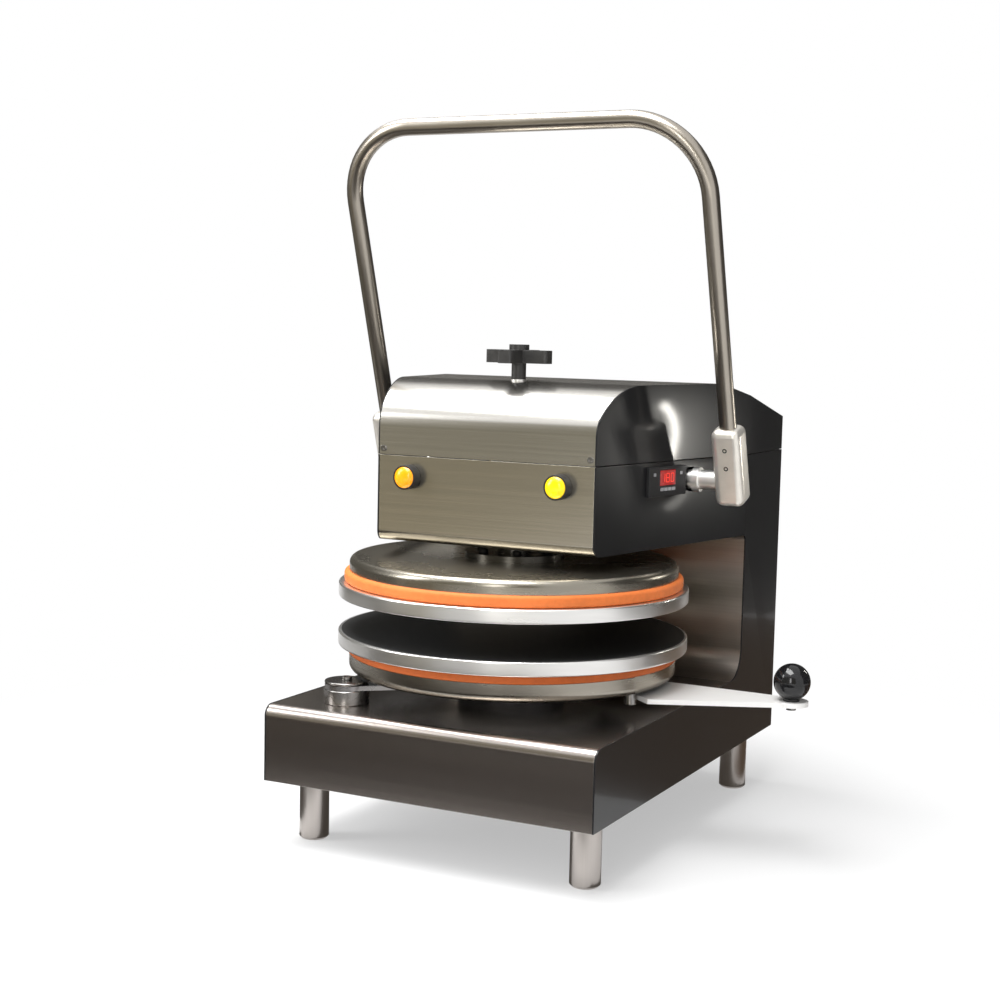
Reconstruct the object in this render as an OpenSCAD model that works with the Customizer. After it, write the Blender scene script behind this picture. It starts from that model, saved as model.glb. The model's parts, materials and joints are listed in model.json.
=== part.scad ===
// Hand-pulled pizza dough press: a C-shaped sheet-metal cabinet on four legs, a ram with a
// heated upper platen, and a heated lower platen that swings out on an arm for loading.
// Millimetres. The origin is on the floor midway between the legs, X runs to the right,
// Y to the rear and Z up.

/* [Cabinet] */
// Width of the base and of the column
base_w = 454; // [440:1:500]
// Depth of the base
base_d = 650; // [630:1:700]
// Height of the base box
base_h = 97; // [80:1:120]
// Height of the legs
leg_h = 83; // [60:1:110]
// Diameter of the legs
leg_d = 38; // [30:1:44]
// Distance from the base side to a leg's axis
leg_inset_x = 36; // [30:1:50]
// Distance from the base front or rear to a leg's axis
leg_inset_y = 62; // [45:1:70]
// Chamfer at the foot of a leg
leg_chamfer = 3; // [1:0.5:5]
// Thickness of the sheet metal
sheet_t = 2; // [1.5:0.1:3]
// Radius of the bend at the base's front top edge
base_bend_r = 14; // [8:1:20]
// Depth of the column
column_d = 148; // [135:1:165]
// Radius of the sweep from the base top up to the column
sweep_r = 40; // [20:1:50]
// Open seam between the lower and upper cabinet sheets
seam_gap = 0.8; // [0.4:0.1:1.5]
// Diameter of the cover screws
screw_d = 8; // [5:0.5:10]
// Height of a cover screw's head
screw_h = 2.2; // [1:0.1:4]
// Distance of the hood's screws from its edges
hood_screw_inset = 8; // [6:0.5:12]
// Distance of the rear screws from the rear cover's edges
rear_screw_inset = 16; // [12:0.5:24]

/* [Head] */
// Height from the base top to the underside of the head
throat_h = 200; // [194:1:230]
// Height of the head
head_h = 210; // [203:1:240]
// Distance from the platen axis to the head's front
nose_reach = 93; // [88:1:110]
// Width of the head's front
head_front_w = 308; // [290:1:340]
// Radius of the nose bend next to the front
nose_r = 40; // [30:1:50]
// Radius of the crown bend next to the top
crown_r = 116; // [90:1:125]
// Radius of the lip under the front
lip_r = 14; // [8:1:20]
// Radius between the head's underside and the column
under_r = 8; // [5:1:15]
// Length of the sloped rear part of the top
rear_run = 221; // [180:1:240]
// Fall of the sloped rear part
rear_drop = 50; // [30:1:65]
// Height of the seam above the head's underside
seam_h = 112; // [105:1:118]
// Clearance of the cabinet openings around the ram and the shaft
opening_gap = 4; // [2:0.5:6]

/* [Platens] */
// Diameter of the pressing plates
platen_d = 457.2; // [440:0.1:460]
// Thickness of a pressing plate
platen_t = 18; // [14:0.5:20]
// Gap from the platen rim to the column
platen_back_gap = 34.4; // [20:0.1:45]
// Gap between the platens when open
open_gap = 45; // [38:0.5:48]
// Gap between the platens when pressed
closed_gap = 3; // [2:0.5:6]
// Diameter of the upper heat seal
upper_seal_d = 443; // [434:0.5:450]
// Thickness of the upper heat seal
upper_seal_t = 15; // [10:0.5:17]
// Diameter of the lower heat seal
lower_seal_d = 432; // [430:0.5:445]
// Thickness of the lower heat seal
lower_seal_t = 12; // [8:0.5:16]
// Radial width of a heat seal
seal_w = 14; // [10:0.5:25]
// Diameter of the upper platen's cover
cover_d = 430; // [420:0.5:433]
// Height of the upper platen's cover
cover_h = 18; // [14:0.5:20]
// Edge bend of the upper platen's cover
cover_bend_r = 9; // [4:0.5:12]
// Diameter of the lower platen's pan
pan_d = 428; // [420:0.5:430]
// Height of the lower platen's pan
pan_h = 24; // [18:0.5:26]
// Edge bend of the lower platen's pan
pan_bend_r = 11; // [5:0.5:13]
// Diameter of a heating ring at its rod's axis
heater_d = 260; // [180:1:340]
// Diameter of a heating ring's rod
heater_rod_d = 9; // [6:0.5:11]
// Diameter of a platen's mounting bosses
boss_d = 24; // [16:1:30]
// Diameter of the circle of mounting bosses
boss_ring_d = 90; // [80:1:100]

/* [Swing arm] */
// Distance of the pivot axis inside the platen rim
pivot_inset = 2.6; // [0:0.1:6]
// Direction from the platen axis to the pivot axis
pivot_angle = 228.4; // [222:0.1:235]
// Diameter of the pivot boss
pivot_boss_d = 58; // [54:1:70]
// Height of the pivot boss
pivot_boss_h = 18.5; // [14:0.5:22]
// Diameter of the pivot pin
pivot_pin_d = 28; // [20:1:34]
// Diameter of the pivot cap
pivot_cap_d = 56; // [50:1:58]
// Thickness of the swing arm
arm_t = 6; // [5:0.5:8]
// Width of the swing arm at the pivot
arm_root_w = 50; // [44:1:52]
// Length of the swing arm's root plate from the pivot axis
root_plate_len = 140; // [125:1:144]
// Width of the root plate's inner end
root_plate_w = 90; // [70:1:96]
// Distance from the platen axis to the handle plate's near corner
near_corner_r = 220; // [212:1:226]
// Direction from the platen axis to the handle plate's near corner
near_corner_angle = -13.7; // [-15:0.1:-13]
// Distance from the platen axis to the handle plate's far corner
far_corner_r = 100; // [92:1:110]
// Direction from the platen axis to the handle plate's far corner
far_corner_angle = 41.3; // [38:0.1:46]
// Distance from the platen axis to the ball knob's axis
ball_reach = 371; // [360:1:390]
// Direction from the platen axis to the ball knob's axis
ball_angle = 6.3; // [4:0.1:9]
// Width of the handle plate at the ball knob
arm_tip_w = 37; // [30:1:38]
// Diameter of the handle plate's rounded end
arm_end_d = 42; // [40:1:48]
// Diameter of the disc that carries the lower platen
carrier_d = 240; // [230:1:260]
// Height of that disc above the arm
carrier_t = 5.2; // [4.8:0.1:8]
// Depth that the disc is let into the arm
carrier_lap = 2; // [1:0.5:4]
// Diameter of the bolts in the arm
arm_bolt_d = 15; // [12:0.5:18]
// Height of an arm bolt's head
arm_bolt_h = 5.8; // [4:0.2:7]
// Distance from the pivot axis to the root plate's bolt
root_bolt_reach = 84; // [60:1:110]
// Distance from the platen axis to the stud under the pan
pan_stud_r = 191; // [170:1:194]
// Direction from the platen axis to the stud under the pan
pan_stud_angle = -12.4; // [-16:0.1:-12]
// Diameter of the ball knob
ball_d = 46; // [40:1:50]
// Diameter of the ball knob's neck
ball_neck_d = 21; // [18:1:25]
// Height of the ball knob's neck
ball_neck_h = 0.5; // [0.4:0.1:9]
// Diameter of the ball knob's stud
ball_stud_d = 12; // [8:1:14]
// Diameter of the anvil under the lower platen
anvil_d = 140; // [100:1:150]

/* [Ram] */
// Diameter of the ram
ram_d = 45; // [40:1:50]
// Bore of the ram
ram_bore_d = 28; // [27:0.5:32]
// Diameter of the ram's flange
flange_d = 130; // [124:1:150]
// Thickness of the ram's flange
flange_t = 8; // [6:0.5:10]
// Depth of the guide block
guide_d = 80; // [70:1:90]
// Gap under the guide block
guide_gap = 10; // [6:0.5:14]
// Wall of the guide bush
guide_bush_t = 5; // [3:0.5:7]
// Thickness of the yoke at the ram's top
yoke_t = 25; // [20:0.5:28]
// Width of the yoke
yoke_w = 150; // [140:1:170]
// Thickness of the web over the ram's end
yoke_web_t = 8; // [5:0.5:12]
// Diameter of the guide rods
rod_d = 14; // [10:0.5:16]
// Distance between the guide rods
rod_spacing = 110; // [104:1:120]
// Depth of a guide rod's seat in the guide block
rod_seat = 30; // [20:1:40]
// Wire of the return springs
spring_wire_d = 3; // [2:0.2:3.4]
// Coil diameter of the return springs
spring_d = 22; // [20.5:0.5:24]
// Turns of a return spring
spring_turns = 6; // [4:1:6]
// Height left for a return spring when pressed
spring_short_h = 23; // [21:0.5:28]

/* [Drive] */
// Diameter of the cross shaft
shaft_d = 25; // [20:0.5:28]
// Distance of the shaft axis behind the head's front
shaft_setback = 213; // [209:0.5:220]
// Height of the shaft axis above the head's underside
shaft_rise = 86; // [78:0.5:90]
// Module of the pinion and the rack
gear_module = 4; // [3.6:0.1:4.2]
// Teeth of the pinion
pinion_teeth = 15; // [15:1:16]
// Width of the pinion and the rack
gear_w = 28; // [20:1:36]
// Play between the meshing teeth
backlash = 0.3; // [0.2:0.05:0.5]
// Thickness of the rack behind its teeth
rack_back_t = 20; // [14:0.5:22]
// Wall of a shaft bush
bush_t = 5; // [3:0.5:6]
// Diameter of the shaft collars
collar_d = 32; // [29:0.5:33]
// Width of a shaft collar
collar_w = 9; // [6:0.5:12]

/* [Frame] */
// Thickness of the frame plates
frame_t = 12; // [8:0.5:14]
// Distance between the frame plates
frame_gap_w = 188; // [182:1:190]
// Distance of the frame plates inside the cabinet's outline
frame_inset = 10; // [8:0.5:12]
// Thickness of the bridge over the yoke
bridge_t = 10; // [8:0.5:12]
// Clearance between the yoke and the bridge
bridge_gap = 6; // [5:0.5:9]
// Width of the bars that carry the legs
leg_bar_w = 60; // [46:1:80]

/* [Handle] */
// Length of the handle from the shaft axis to the grip bar's axis
handle_len = 473; // [420:1:500]
// Forward lean of the handle at rest
handle_lean = 18; // [10:0.5:24]
// Distance between the handle arms' axes
handle_w = 507; // [500:1:540]
// Diameter of the handle tube
tube_d = 22; // [18:0.5:24]
// Wall of the handle tube
tube_t = 2; // [1.5:0.1:3]
// Bend radius of the handle tube
handle_bend_r = 98; // [70:1:115]
// Width of a handle block
block_w = 39; // [36:1:46]
// Depth of a handle block
block_d = 38; // [30:0.5:42]
// Height of a handle block above the shaft axis
block_rise = 75; // [65:1:85]
// Height of a handle block below the shaft axis
block_drop = 30; // [24:1:38]
// Corner radius of a handle block's front
block_corner_r = 10; // [6:0.5:15]
// Corner radius of a handle block's side
block_side_r = 9; // [3:0.5:10]
// Depth of a handle arm's seat in its block
tube_seat = 52; // [40:1:56]
// Diameter of the set screws
set_screw_d = 6; // [5:0.5:9]

/* [Adjuster] */
// Span of the cross knob
knob_span = 88; // [76:1:100]
// Width of a knob arm
knob_arm_w = 20; // [16:0.5:24]
// Thickness of the knob arms
knob_arm_t = 17; // [13:0.5:20]
// Height of the knob arms above the head's top
knob_rise = 23; // [20:0.5:32]
// Corner radius of a knob arm
knob_corner_r = 4; // [2:0.5:7]
// Diameter of the knob's hub
knob_hub_d = 26; // [22:0.5:30]
// Height of the hub above the knob arms
knob_hub_rise = 7; // [4:0.5:9]
// Diameter of the knob's stem
stem_d = 19; // [17:0.5:23]
// Diameter of the adjusting spindle
spindle_d = 12; // [10:0.5:14]
// Diameter of the stop nut
stop_nut_d = 25; // [20:0.5:26]
// Height of the stop nut
stop_nut_h = 16; // [12:0.5:20]
// Travel kept free of the stop nut at full press
stop_margin = 3.5; // [3.2:0.1:6]

/* [Controls] */
// Diameter of a push-button lens
button_d = 27; // [22:0.5:30]
// Distance between the push-buttons
button_spacing = 213; // [205:1:230]
// Height of the push-buttons above the head's underside
button_rise = 85; // [78:0.5:92]
// How far a push-button stands out
button_proud = 20; // [18:0.5:26]
// Travel of a push-button
button_travel = 3; // [2:0.5:4]
// Chamfer of a push-button's lens
lens_chamfer = 2; // [1:0.5:3]
// Diameter of a push-button's plunger
plunger_d = 12; // [8:0.5:16]
// Wall of a push-button's housing
housing_t = 2; // [1.5:0.1:3]
// How far a push-button's housing stands out
housing_proud = 16; // [12:0.5:17]
// Diameter of a push-button's barrel
barrel_d = 24; // [20:0.5:26]
// Length of a push-button's barrel behind the front
barrel_len = 26; // [20:1:30]
// Size of a switch body
switch_size = 20; // [16:1:22]
// Length of the controller's face
panel_len = 86; // [78:1:88]
// Height of the controller's face
panel_h = 38; // [34:1:42]
// Thickness of the controller's face
panel_t = 5; // [4:0.5:8]
// Lap of the controller's face over its opening
panel_lap = 3; // [2:0.5:5]
// Distance of the controller's middle behind the head's front
panel_setback = 150; // [140:1:151]
// Height of the controller's middle above the head's underside
panel_rise = 87; // [84:0.5:88]
// Length of the display
display_len = 36; // [30:1:44]
// Height of the display
display_h = 20; // [16:0.5:22]
// Depth of the display's recess
display_t = 3; // [2:0.5:3.5]
// Distance of the display from the face's front end
display_inset = 25; // [10:0.5:30]
// Distance of the display from the face's top edge
display_drop = 4.5; // [3:0.5:8]
// Gap between the controller and the frame plate behind it
controller_gap = 2.5; // [1:0.5:20]
// Distance from each end of the controller's body to its opening
controller_end_gap = 7; // [5:0.5:12]

/* [Rear cover] */
// Height of a rear vent slot
vent_h = 6; // [4:0.5:8]
// Length of a rear vent slot
vent_len = 220; // [150:1:280]
// Distance from one vent slot to the next
vent_pitch = 18; // [14:1:24]
// Number of vent slots
vent_count = 6; // [3:1:8]
// Diameter of the cable gland
gland_d = 26; // [20:0.5:32]
// How far the cable gland stands out
gland_proud = 24; // [16:1:30]
// Thickness of the gland's collar
gland_collar_t = 8; // [5:0.5:10]
// Diameter of the gland's thread
gland_thread_d = 16; // [12:0.5:18]
// Length of the gland's thread behind the cover's face
gland_thread = 8; // [5:0.5:12]
// Bore of the gland
gland_bore_d = 8; // [6:0.5:10]
// Distance of the gland from the cabinet's left side
gland_inset = 72; // [60:1:90]

/* [Hidden] */
$fn = 64;

// Clearances: radial running fit, faces that pass each other, and the overrun of cuts
run_gap = 0.05;
pass_gap = 0.3;
cut = 1;

// Main levels and faces of the cabinet
base_top = leg_h + base_h;
front_y = -base_d / 2;
rear_y = base_d / 2;
column_y = rear_y - column_d;
platen_r = platen_d / 2;
platen_y = column_y - platen_back_gap - platen_r;
head_y = platen_y - nose_reach;
head_reach = column_y - head_y;
head_z = base_top + throat_h;
head_top = head_z + head_h;
seam_z = head_z + seam_h;
side_x = base_w / 2;
taper = atan((base_w - head_front_w) / 2 / head_reach);
slope = atan(rear_drop / rear_run);
slope_y = rear_y - rear_run;
nose_turn = 45;
nose_depth = nose_r * (1 - cos(nose_turn)) + crown_r * cos(nose_turn);
nose_drop = nose_r * sin(nose_turn) + crown_r * (1 - sin(nose_turn));
nose_z = head_top - nose_drop;
big = base_w + base_d;

// Half width of the tapered head at depth y
function head_half_w(y) = head_front_w / 2 + (y - head_y) * tan(taper);

// Lower stack, from the base top upwards
arm_z = base_top + pivot_boss_h + pass_gap;
arm_top = arm_z + arm_t;
carrier_z = arm_top - carrier_lap;
pan_z = arm_top + carrier_t;
pan_top = pan_z + pan_h;
lower_plate_z = pan_top + lower_seal_t;
lower_top = lower_plate_z + platen_t;

// Upper stack, from the open gap upwards
upper_z = lower_top + open_gap;
upper_plate_top = upper_z + platen_t;
cover_z = upper_plate_top + upper_seal_t;
cover_top = cover_z + cover_h;
flange_top = cover_top + flange_t;
stroke = open_gap - closed_gap;

// Ram, yoke and bridge, from the head's top downwards
frame_top = head_top - frame_inset;
bridge_z = frame_top - bridge_t;
yoke_top = bridge_z - bridge_gap;
yoke_z = yoke_top - yoke_t;
ram_top = yoke_top - yoke_web_t;
guide_top = yoke_z - stroke - spring_short_h;
guide_z = head_z + sheet_t + guide_gap;
guide_front_y = platen_y - guide_d / 2;
guide_r = ram_d / 2 + run_gap + guide_bush_t;
yoke_front_y = platen_y - ram_d / 2 - yoke_web_t;

// Return springs: sides of the wire, rings in a turn and the height of the wire's axis
spring_sides = 6;
spring_rings = 10;
spring_len = yoke_z - guide_top - spring_wire_d - 2 * pass_gap;

// Pinion and rack
shaft_y = head_y + shaft_setback;
shaft_z = head_z + shaft_rise;
pitch_r = gear_module * pinion_teeth / 2;
pressure_angle = 25;
gear_base_r = pitch_r * cos(pressure_angle);
tip_share = 1;
root_share = 1.25;
gear_tip_r = pitch_r + gear_module * tip_share;
gear_root_r = pitch_r - gear_module * root_share;
gear_pitch = PI * gear_module;
tooth_w = gear_pitch / 2 - backlash / 2;
flank_steps = 6;
rack_y = shaft_y - pitch_r;
rack_root_y = rack_y - gear_module * root_share;
rack_tip_y = rack_y + gear_module * tip_share;
rack_back_y = rack_root_y - rack_back_t;
// Whole teeth of the rack below the shaft axis at rest
rack_below = 2;
rack_bottom = shaft_z - gear_pitch * rack_below;
rack_teeth = 2 * rack_below + floor(stroke / gear_pitch);

// Place at a distance and a direction from the platen axis
function round_platen(r, angle) = [r * cos(angle), platen_y + r * sin(angle)];

// Pivot of the swing arm and the corners of its plates
pivot_r = platen_r - pivot_inset;
pivot_x = pivot_r * cos(pivot_angle);
pivot_y = platen_y + pivot_r * sin(pivot_angle);
root_turn = pivot_angle - 180;
near_corner = round_platen(near_corner_r, near_corner_angle);
far_corner = round_platen(far_corner_r, far_corner_angle);
ball_place = round_platen(ball_reach, ball_angle);
plate_run = ball_place - (near_corner + far_corner) / 2;
plate_side = [-plate_run[1], plate_run[0]] / norm(plate_run);
ball_z = arm_top + ball_neck_h + ball_d / 2;
pivot_cap_clear = 1.5;
cap_t = carrier_t - pass_gap - pivot_cap_clear;

// Handle arms and blocks
arm_x = handle_w / 2;
shaft_half = arm_x + block_w / 2 - block_side_r;
collar_x = head_half_w(shaft_y) + collar_d / 2 * tan(taper) + pass_gap * 2;
tube_start = block_rise - tube_seat;
// Places of the set screws above the shaft axis, as shares of the block's rise
set_screw_shares = [0.33, 0.66];
set_screw_t = (block_d - tube_d) / 2 - run_gap;

// Adjuster
knob_z = head_top + knob_rise;
spindle_bush_t = 4;
bush_collar_t = 2;
spindle_bush_r = spindle_d / 2 + run_gap + spindle_bush_t;
spindle_collar_t = bridge_gap - 2 * pass_gap;
stop_top = ram_top - stroke - stop_margin;

// Controls
button_z = head_z + button_rise;
housing_d = button_d + 2 * (pass_gap + housing_t);
panel_y = head_y + panel_setback;
panel_z = head_z + panel_rise;
controller_half_len = panel_len / 2 - panel_lap - controller_end_gap;
controller_room = head_half_w(panel_y) - frame_gap_w / 2 - frame_t - controller_gap;
controller_d = (controller_room - controller_half_len * sin(taper)) / cos(taper);
display_y = -panel_len / 2 + display_inset + display_len / 2;
display_z = panel_h / 2 - display_drop - display_h / 2;
vent_z = base_top + throat_h / 2;
// Top of a cover screw, as a share of its diameter
screw_top_share = 0.7;

// Finishes
steel = [0.72, 0.70, 0.67];
bright = [0.86, 0.85, 0.83];
dark_sheet = [0.18, 0.18, 0.19];
black = [0.06, 0.06, 0.06];
seal_orange = [0.86, 0.38, 0.13];
iron = [0.42, 0.43, 0.45];
bronze = [0.68, 0.50, 0.27];

// Extrudes an outline of Y and Z along X, from x0 over a length
module along_x(x0, length) {
  translate([x0, 0, 0])
    rotate([90, 0, 90])
      linear_extrude(length) children();
}

// Axis-aligned box between two corners
module block(low, high) {
  translate(low) cube(high - low);
}

// Rectangle between two corners
module rect(low, high) {
  translate(low) square(high - low);
}

// Pie slice of a circle between two directions
module sector(centre, r, from, to) {
  reach = 2 * r;
  intersection() {
    translate(centre) circle(r, $fn = 128);
    polygon([
      centre,
      centre + reach * [cos(from), sin(from)],
      centre + reach * [cos(to), sin(to)]
    ]);
  }
}

// Filled inner corner with its vertex at a point, opening towards -Y and up or down
module inner_corner(corner, r, up, s) {
  centre = corner + r * [-1, up];
  difference() {
    rect(
      [centre[0], min(centre[1], corner[1] - up * s)],
      [corner[0] + s, max(centre[1], corner[1] - up * s)]
    );
    translate(centre) circle(r + s, $fn = 128);
  }
}

// Rectangle with one rounded corner, at the front (-Y) and up or down
module front_rounded(low, high, r, up) {
  corner_z = up > 0 ? high[1] : low[1];
  centre = [low[0] + r, corner_z - up * r];
  difference() {
    rect(low, high);
    rect(
      [low[0] - cut, min(centre[1], corner_z + up * cut)],
      [centre[0], max(centre[1], corner_z + up * cut)]
    );
  }
  translate(centre) circle(r, $fn = 128);
}

// Side outline of the cabinet, drawn in by s on every side
module cabinet_outline(s) {
  front_rounded([front_y + s, leg_h + s], [rear_y - s, base_top - s], base_bend_r - s, 1);
  inner_corner([column_y, base_top], sweep_r, 1, s);
  inner_corner([column_y, head_z], under_r, -1, s);
  rect([column_y + s, leg_h + s], [rear_y - s, seam_z]);
  difference() {
    union() {
      front_rounded([head_y + s, head_z + s], [rear_y - s, nose_z], lip_r - s, -1);
      rect([head_y + nose_depth, nose_z - cut], [rear_y - s, head_top - s]);
      sector([head_y + nose_r, nose_z], nose_r - s, 180, 90);
      sector([head_y + nose_depth, head_top - crown_r], crown_r - s, 180 - nose_turn, 90);
    }
    rear_slope_cut(s);
  }
}

// What the sloped rear part takes off the top
module rear_slope_cut(s) {
  start_y = slope_y - s * tan(slope / 2);
  end_y = rear_y + cut;
  polygon([
    [start_y, head_top - s],
    [start_y, head_top + cut],
    [end_y, head_top + cut],
    [end_y, head_top - s - (end_y - start_y) * tan(slope)]
  ]);
}

// Sheet that follows the cabinet's outline
module outline_sheet() {
  difference() {
    cabinet_outline(0);
    cabinet_outline(sheet_t);
  }
}

// Plan of the head and column, drawn in by s at the sides
module head_plan(s) {
  y0 = head_y - cut;
  x0 = head_half_w(y0) - s / cos(taper);
  y1 = column_y + s * tan(taper / 2);
  x1 = side_x - s;
  polygon([
    [-x0, y0], [x0, y0], [x1, y1], [x1, rear_y + cut], [-x1, rear_y + cut], [-x1, y1]
  ]);
}

// Sheet along the outline, cut by a window of Y and Z, as wide as the base allows
module base_sheet(low, high) {
  along_x(-side_x + sheet_t, base_w - 2 * sheet_t)
    intersection() {
      outline_sheet();
      rect(low, high);
    }
}

// Sheet along the outline, cut by a window of Y and Z, as wide as the head's plan
module head_sheet(low, high) {
  intersection() {
    along_x(-side_x, base_w)
      intersection() {
        outline_sheet();
        rect(low, high);
      }
    translate([0, 0, leg_h]) linear_extrude(big) head_plan(sheet_t);
  }
}

// Side sheets of the head, left and right of the plan, within a span of heights
module head_sides(low_z, high_z) {
  intersection() {
    along_x(-side_x, base_w) cabinet_outline(0);
    translate([0, 0, low_z])
      linear_extrude(high_z - low_z)
        difference() {
          head_plan(0);
          head_plan(sheet_t);
        }
  }
}

// Half space on one side of the middle: side is 1 on the right and -1 on the left
module half(side) {
  translate([side > 0 ? 0 : -big, -big, 0]) cube([big, 2 * big, 2 * big]);
}

// Places children on the head's front: local Z points out to the front
module on_front(x, z) {
  translate([x, head_y, z]) rotate([90, 0, 0]) children();
}

// Places children on the right side of the head: local X points out, local Y to the rear
module on_right_side(y, z) {
  translate([head_half_w(y), y, z]) rotate([0, 0, -taper]) children();
}

// Tube along Z between two heights
module tube(r_out, r_in, z0, z1) {
  difference() {
    translate([0, 0, z0]) cylinder(r = r_out, h = z1 - z0);
    translate([0, 0, z0 - cut]) cylinder(r = r_in, h = z1 - z0 + 2 * cut);
  }
}

// Rod along X
module rod_x(r, x0, x1) {
  translate([x0, 0, 0]) rotate([0, 90, 0]) cylinder(r = r, h = x1 - x0);
}

// Moves children to the platen and ram axis
module at_platen() {
  translate([0, platen_y, 0]) children();
}

// Moves children to the cross shaft's axis
module at_shaft() {
  translate([0, shaft_y, shaft_z]) children();
}

// Cabinet and its sheets
module legs() {
  color(bright)
    for (x = [-1, 1], y = [-1, 1])
      translate([x * (side_x - leg_inset_x), y * (rear_y - leg_inset_y), 0]) {
        cylinder(r1 = leg_d / 2 - leg_chamfer, r2 = leg_d / 2, h = leg_chamfer);
        translate([0, 0, leg_chamfer]) cylinder(d = leg_d, h = leg_h - leg_chamfer);
      }
}

module leg_bars() {
  half_len = side_x - sheet_t;
  color(iron)
    for (y = [-1, 1])
      translate([0, y * (rear_y - leg_inset_y), leg_h + sheet_t])
        block([-half_len, -leg_bar_w / 2, 0], [half_len, leg_bar_w / 2, frame_inset - sheet_t]);
}

module bottom_plate() {
  color(steel)
    block(
      [-side_x + sheet_t, front_y + sheet_t, leg_h],
      [side_x - sheet_t, rear_y - sheet_t, leg_h + sheet_t]
    );
}

module base_cover() {
  color(steel)
    difference() {
      base_sheet([front_y, leg_h], [column_y - sweep_r, base_top]);
      block(
        [-side_x, front_y + sheet_t, leg_h - cut],
        [side_x, rear_y, leg_h + sheet_t]
      );
    }
}

module column_cover() {
  color(steel)
    base_sheet([column_y - sweep_r, base_top - sheet_t], [column_y + sheet_t, head_z]);
}

module rear_cover() {
  color(steel)
    difference() {
      base_sheet([rear_y - sheet_t, leg_h], [rear_y, seam_z - seam_gap / 2]);
      for (i = [0 : vent_count - 1])
        translate([0, rear_y, vent_z + i * vent_pitch])
          block([-vent_len / 2, -sheet_t - cut, 0], [vent_len / 2, cut, vent_h]);
      at_gland() rotate([90, 0, 0]) cylinder(d = gland_thread_d, h = big, center = true);
    }
}

// Side panel: base and column in one plane, and the tapered head side up to the seam
module side_panel(side) {
  along_x(side > 0 ? side_x - sheet_t : -side_x, sheet_t)
    intersection() {
      cabinet_outline(0);
      rect([front_y, leg_h], [rear_y, head_z]);
    }
  intersection() {
    head_sides(head_z, seam_z - seam_gap / 2);
    half(side);
  }
}

module shaft_opening() {
  at_shaft() rod_x(shaft_d / 2 + opening_gap, -side_x - cut, side_x + cut);
}

module side_panel_left() {
  color(dark_sheet)
    difference() {
      side_panel(-1);
      shaft_opening();
    }
}

module side_panel_right() {
  color(dark_sheet)
    difference() {
      side_panel(1);
      shaft_opening();
      on_right_side(panel_y, panel_z)
        block(
          [-big, -panel_len / 2 + panel_lap, -panel_h / 2 + panel_lap],
          [big, panel_len / 2 - panel_lap, panel_h / 2 - panel_lap]
        );
    }
}

module head_front() {
  color(steel)
    difference() {
      head_sheet([head_y, head_z], [column_y - under_r, seam_z - seam_gap / 2]);
      at_platen() cylinder(r = ram_d / 2 + opening_gap, h = head_z + lip_r);
      for (x = [-1, 1])
        on_front(x * button_spacing / 2, button_z)
          cylinder(d = barrel_d, h = 2 * barrel_len, center = true);
    }
}

module hood() {
  color(steel)
    difference() {
      head_sheet([head_y, seam_z + seam_gap / 2], [rear_y, head_top]);
      at_platen() translate([0, 0, frame_top]) cylinder(r = spindle_bush_r, h = big);
    }
}

// Side of the head above the seam
module hood_cheek(side) {
  intersection() {
    head_sides(seam_z + seam_gap / 2, head_top + cut);
    half(side);
  }
}

module hood_cheek_left() {
  color(dark_sheet) hood_cheek(-1);
}

module hood_cheek_right() {
  color(dark_sheet) hood_cheek(1);
}

// Frame inside the cabinet
module frame_plate(side) {
  x0 = side > 0 ? frame_gap_w / 2 : -frame_gap_w / 2 - frame_t;
  difference() {
    along_x(x0, frame_t)
      difference() {
        cabinet_outline(frame_inset);
        rect([head_y, head_z], [guide_front_y, head_top]);
      }
    at_shaft() rod_x(shaft_d / 2 + bush_t, -side_x, side_x);
  }
}

module frame_plate_left() {
  color(iron) frame_plate(-1);
}

module frame_plate_right() {
  color(iron) frame_plate(1);
}

module anvil_plate() {
  half_w = side_x - sheet_t;
  color(iron)
    block(
      [-half_w, front_y + base_bend_r, base_top - frame_inset],
      [half_w, column_y - sweep_r, base_top - sheet_t]
    );
}

module spine_plate() {
  color(iron)
    block(
      [-frame_gap_w / 2, rear_y - frame_inset - frame_t, leg_h + frame_inset],
      [frame_gap_w / 2, rear_y - frame_inset, head_z]
    );
}

module guide_block() {
  color(iron)
    difference() {
      block(
        [-frame_gap_w / 2, guide_front_y, guide_z],
        [frame_gap_w / 2, guide_front_y + guide_d, guide_top]
      );
      at_platen() translate([0, 0, guide_z - cut]) cylinder(r = guide_r, h = big);
      at_rods() translate([0, 0, guide_top - rod_seat]) cylinder(d = rod_d, h = big);
    }
}

module at_rods() {
  for (x = [-1, 1])
    translate([x * rod_spacing / 2, platen_y, 0]) children();
}

module guide_bush() {
  color(bronze)
    at_platen() tube(guide_r, ram_d / 2 + run_gap, guide_z, guide_top);
}

module guide_rods() {
  color(bright)
    at_rods()
      translate([0, 0, guide_top - rod_seat])
        cylinder(d = rod_d, h = bridge_z - guide_top + rod_seat);
}

// Coil spring: upright rings of points along a helix
function helix_point(i) =
  let (turn = 360 * i / spring_rings)
  [
    spring_d / 2 * cos(turn),
    spring_d / 2 * sin(turn),
    spring_len * i / (spring_rings * spring_turns)
  ];

function helix_ring(i) =
  let (turn = 360 * i / spring_rings, centre = helix_point(i))
  [
    for (k = [0 : spring_sides - 1])
      let (a = 360 * k / spring_sides, out = spring_wire_d / 2 * cos(a))
      centre + [out * cos(turn), out * sin(turn), spring_wire_d / 2 * sin(a)]
  ];

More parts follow.
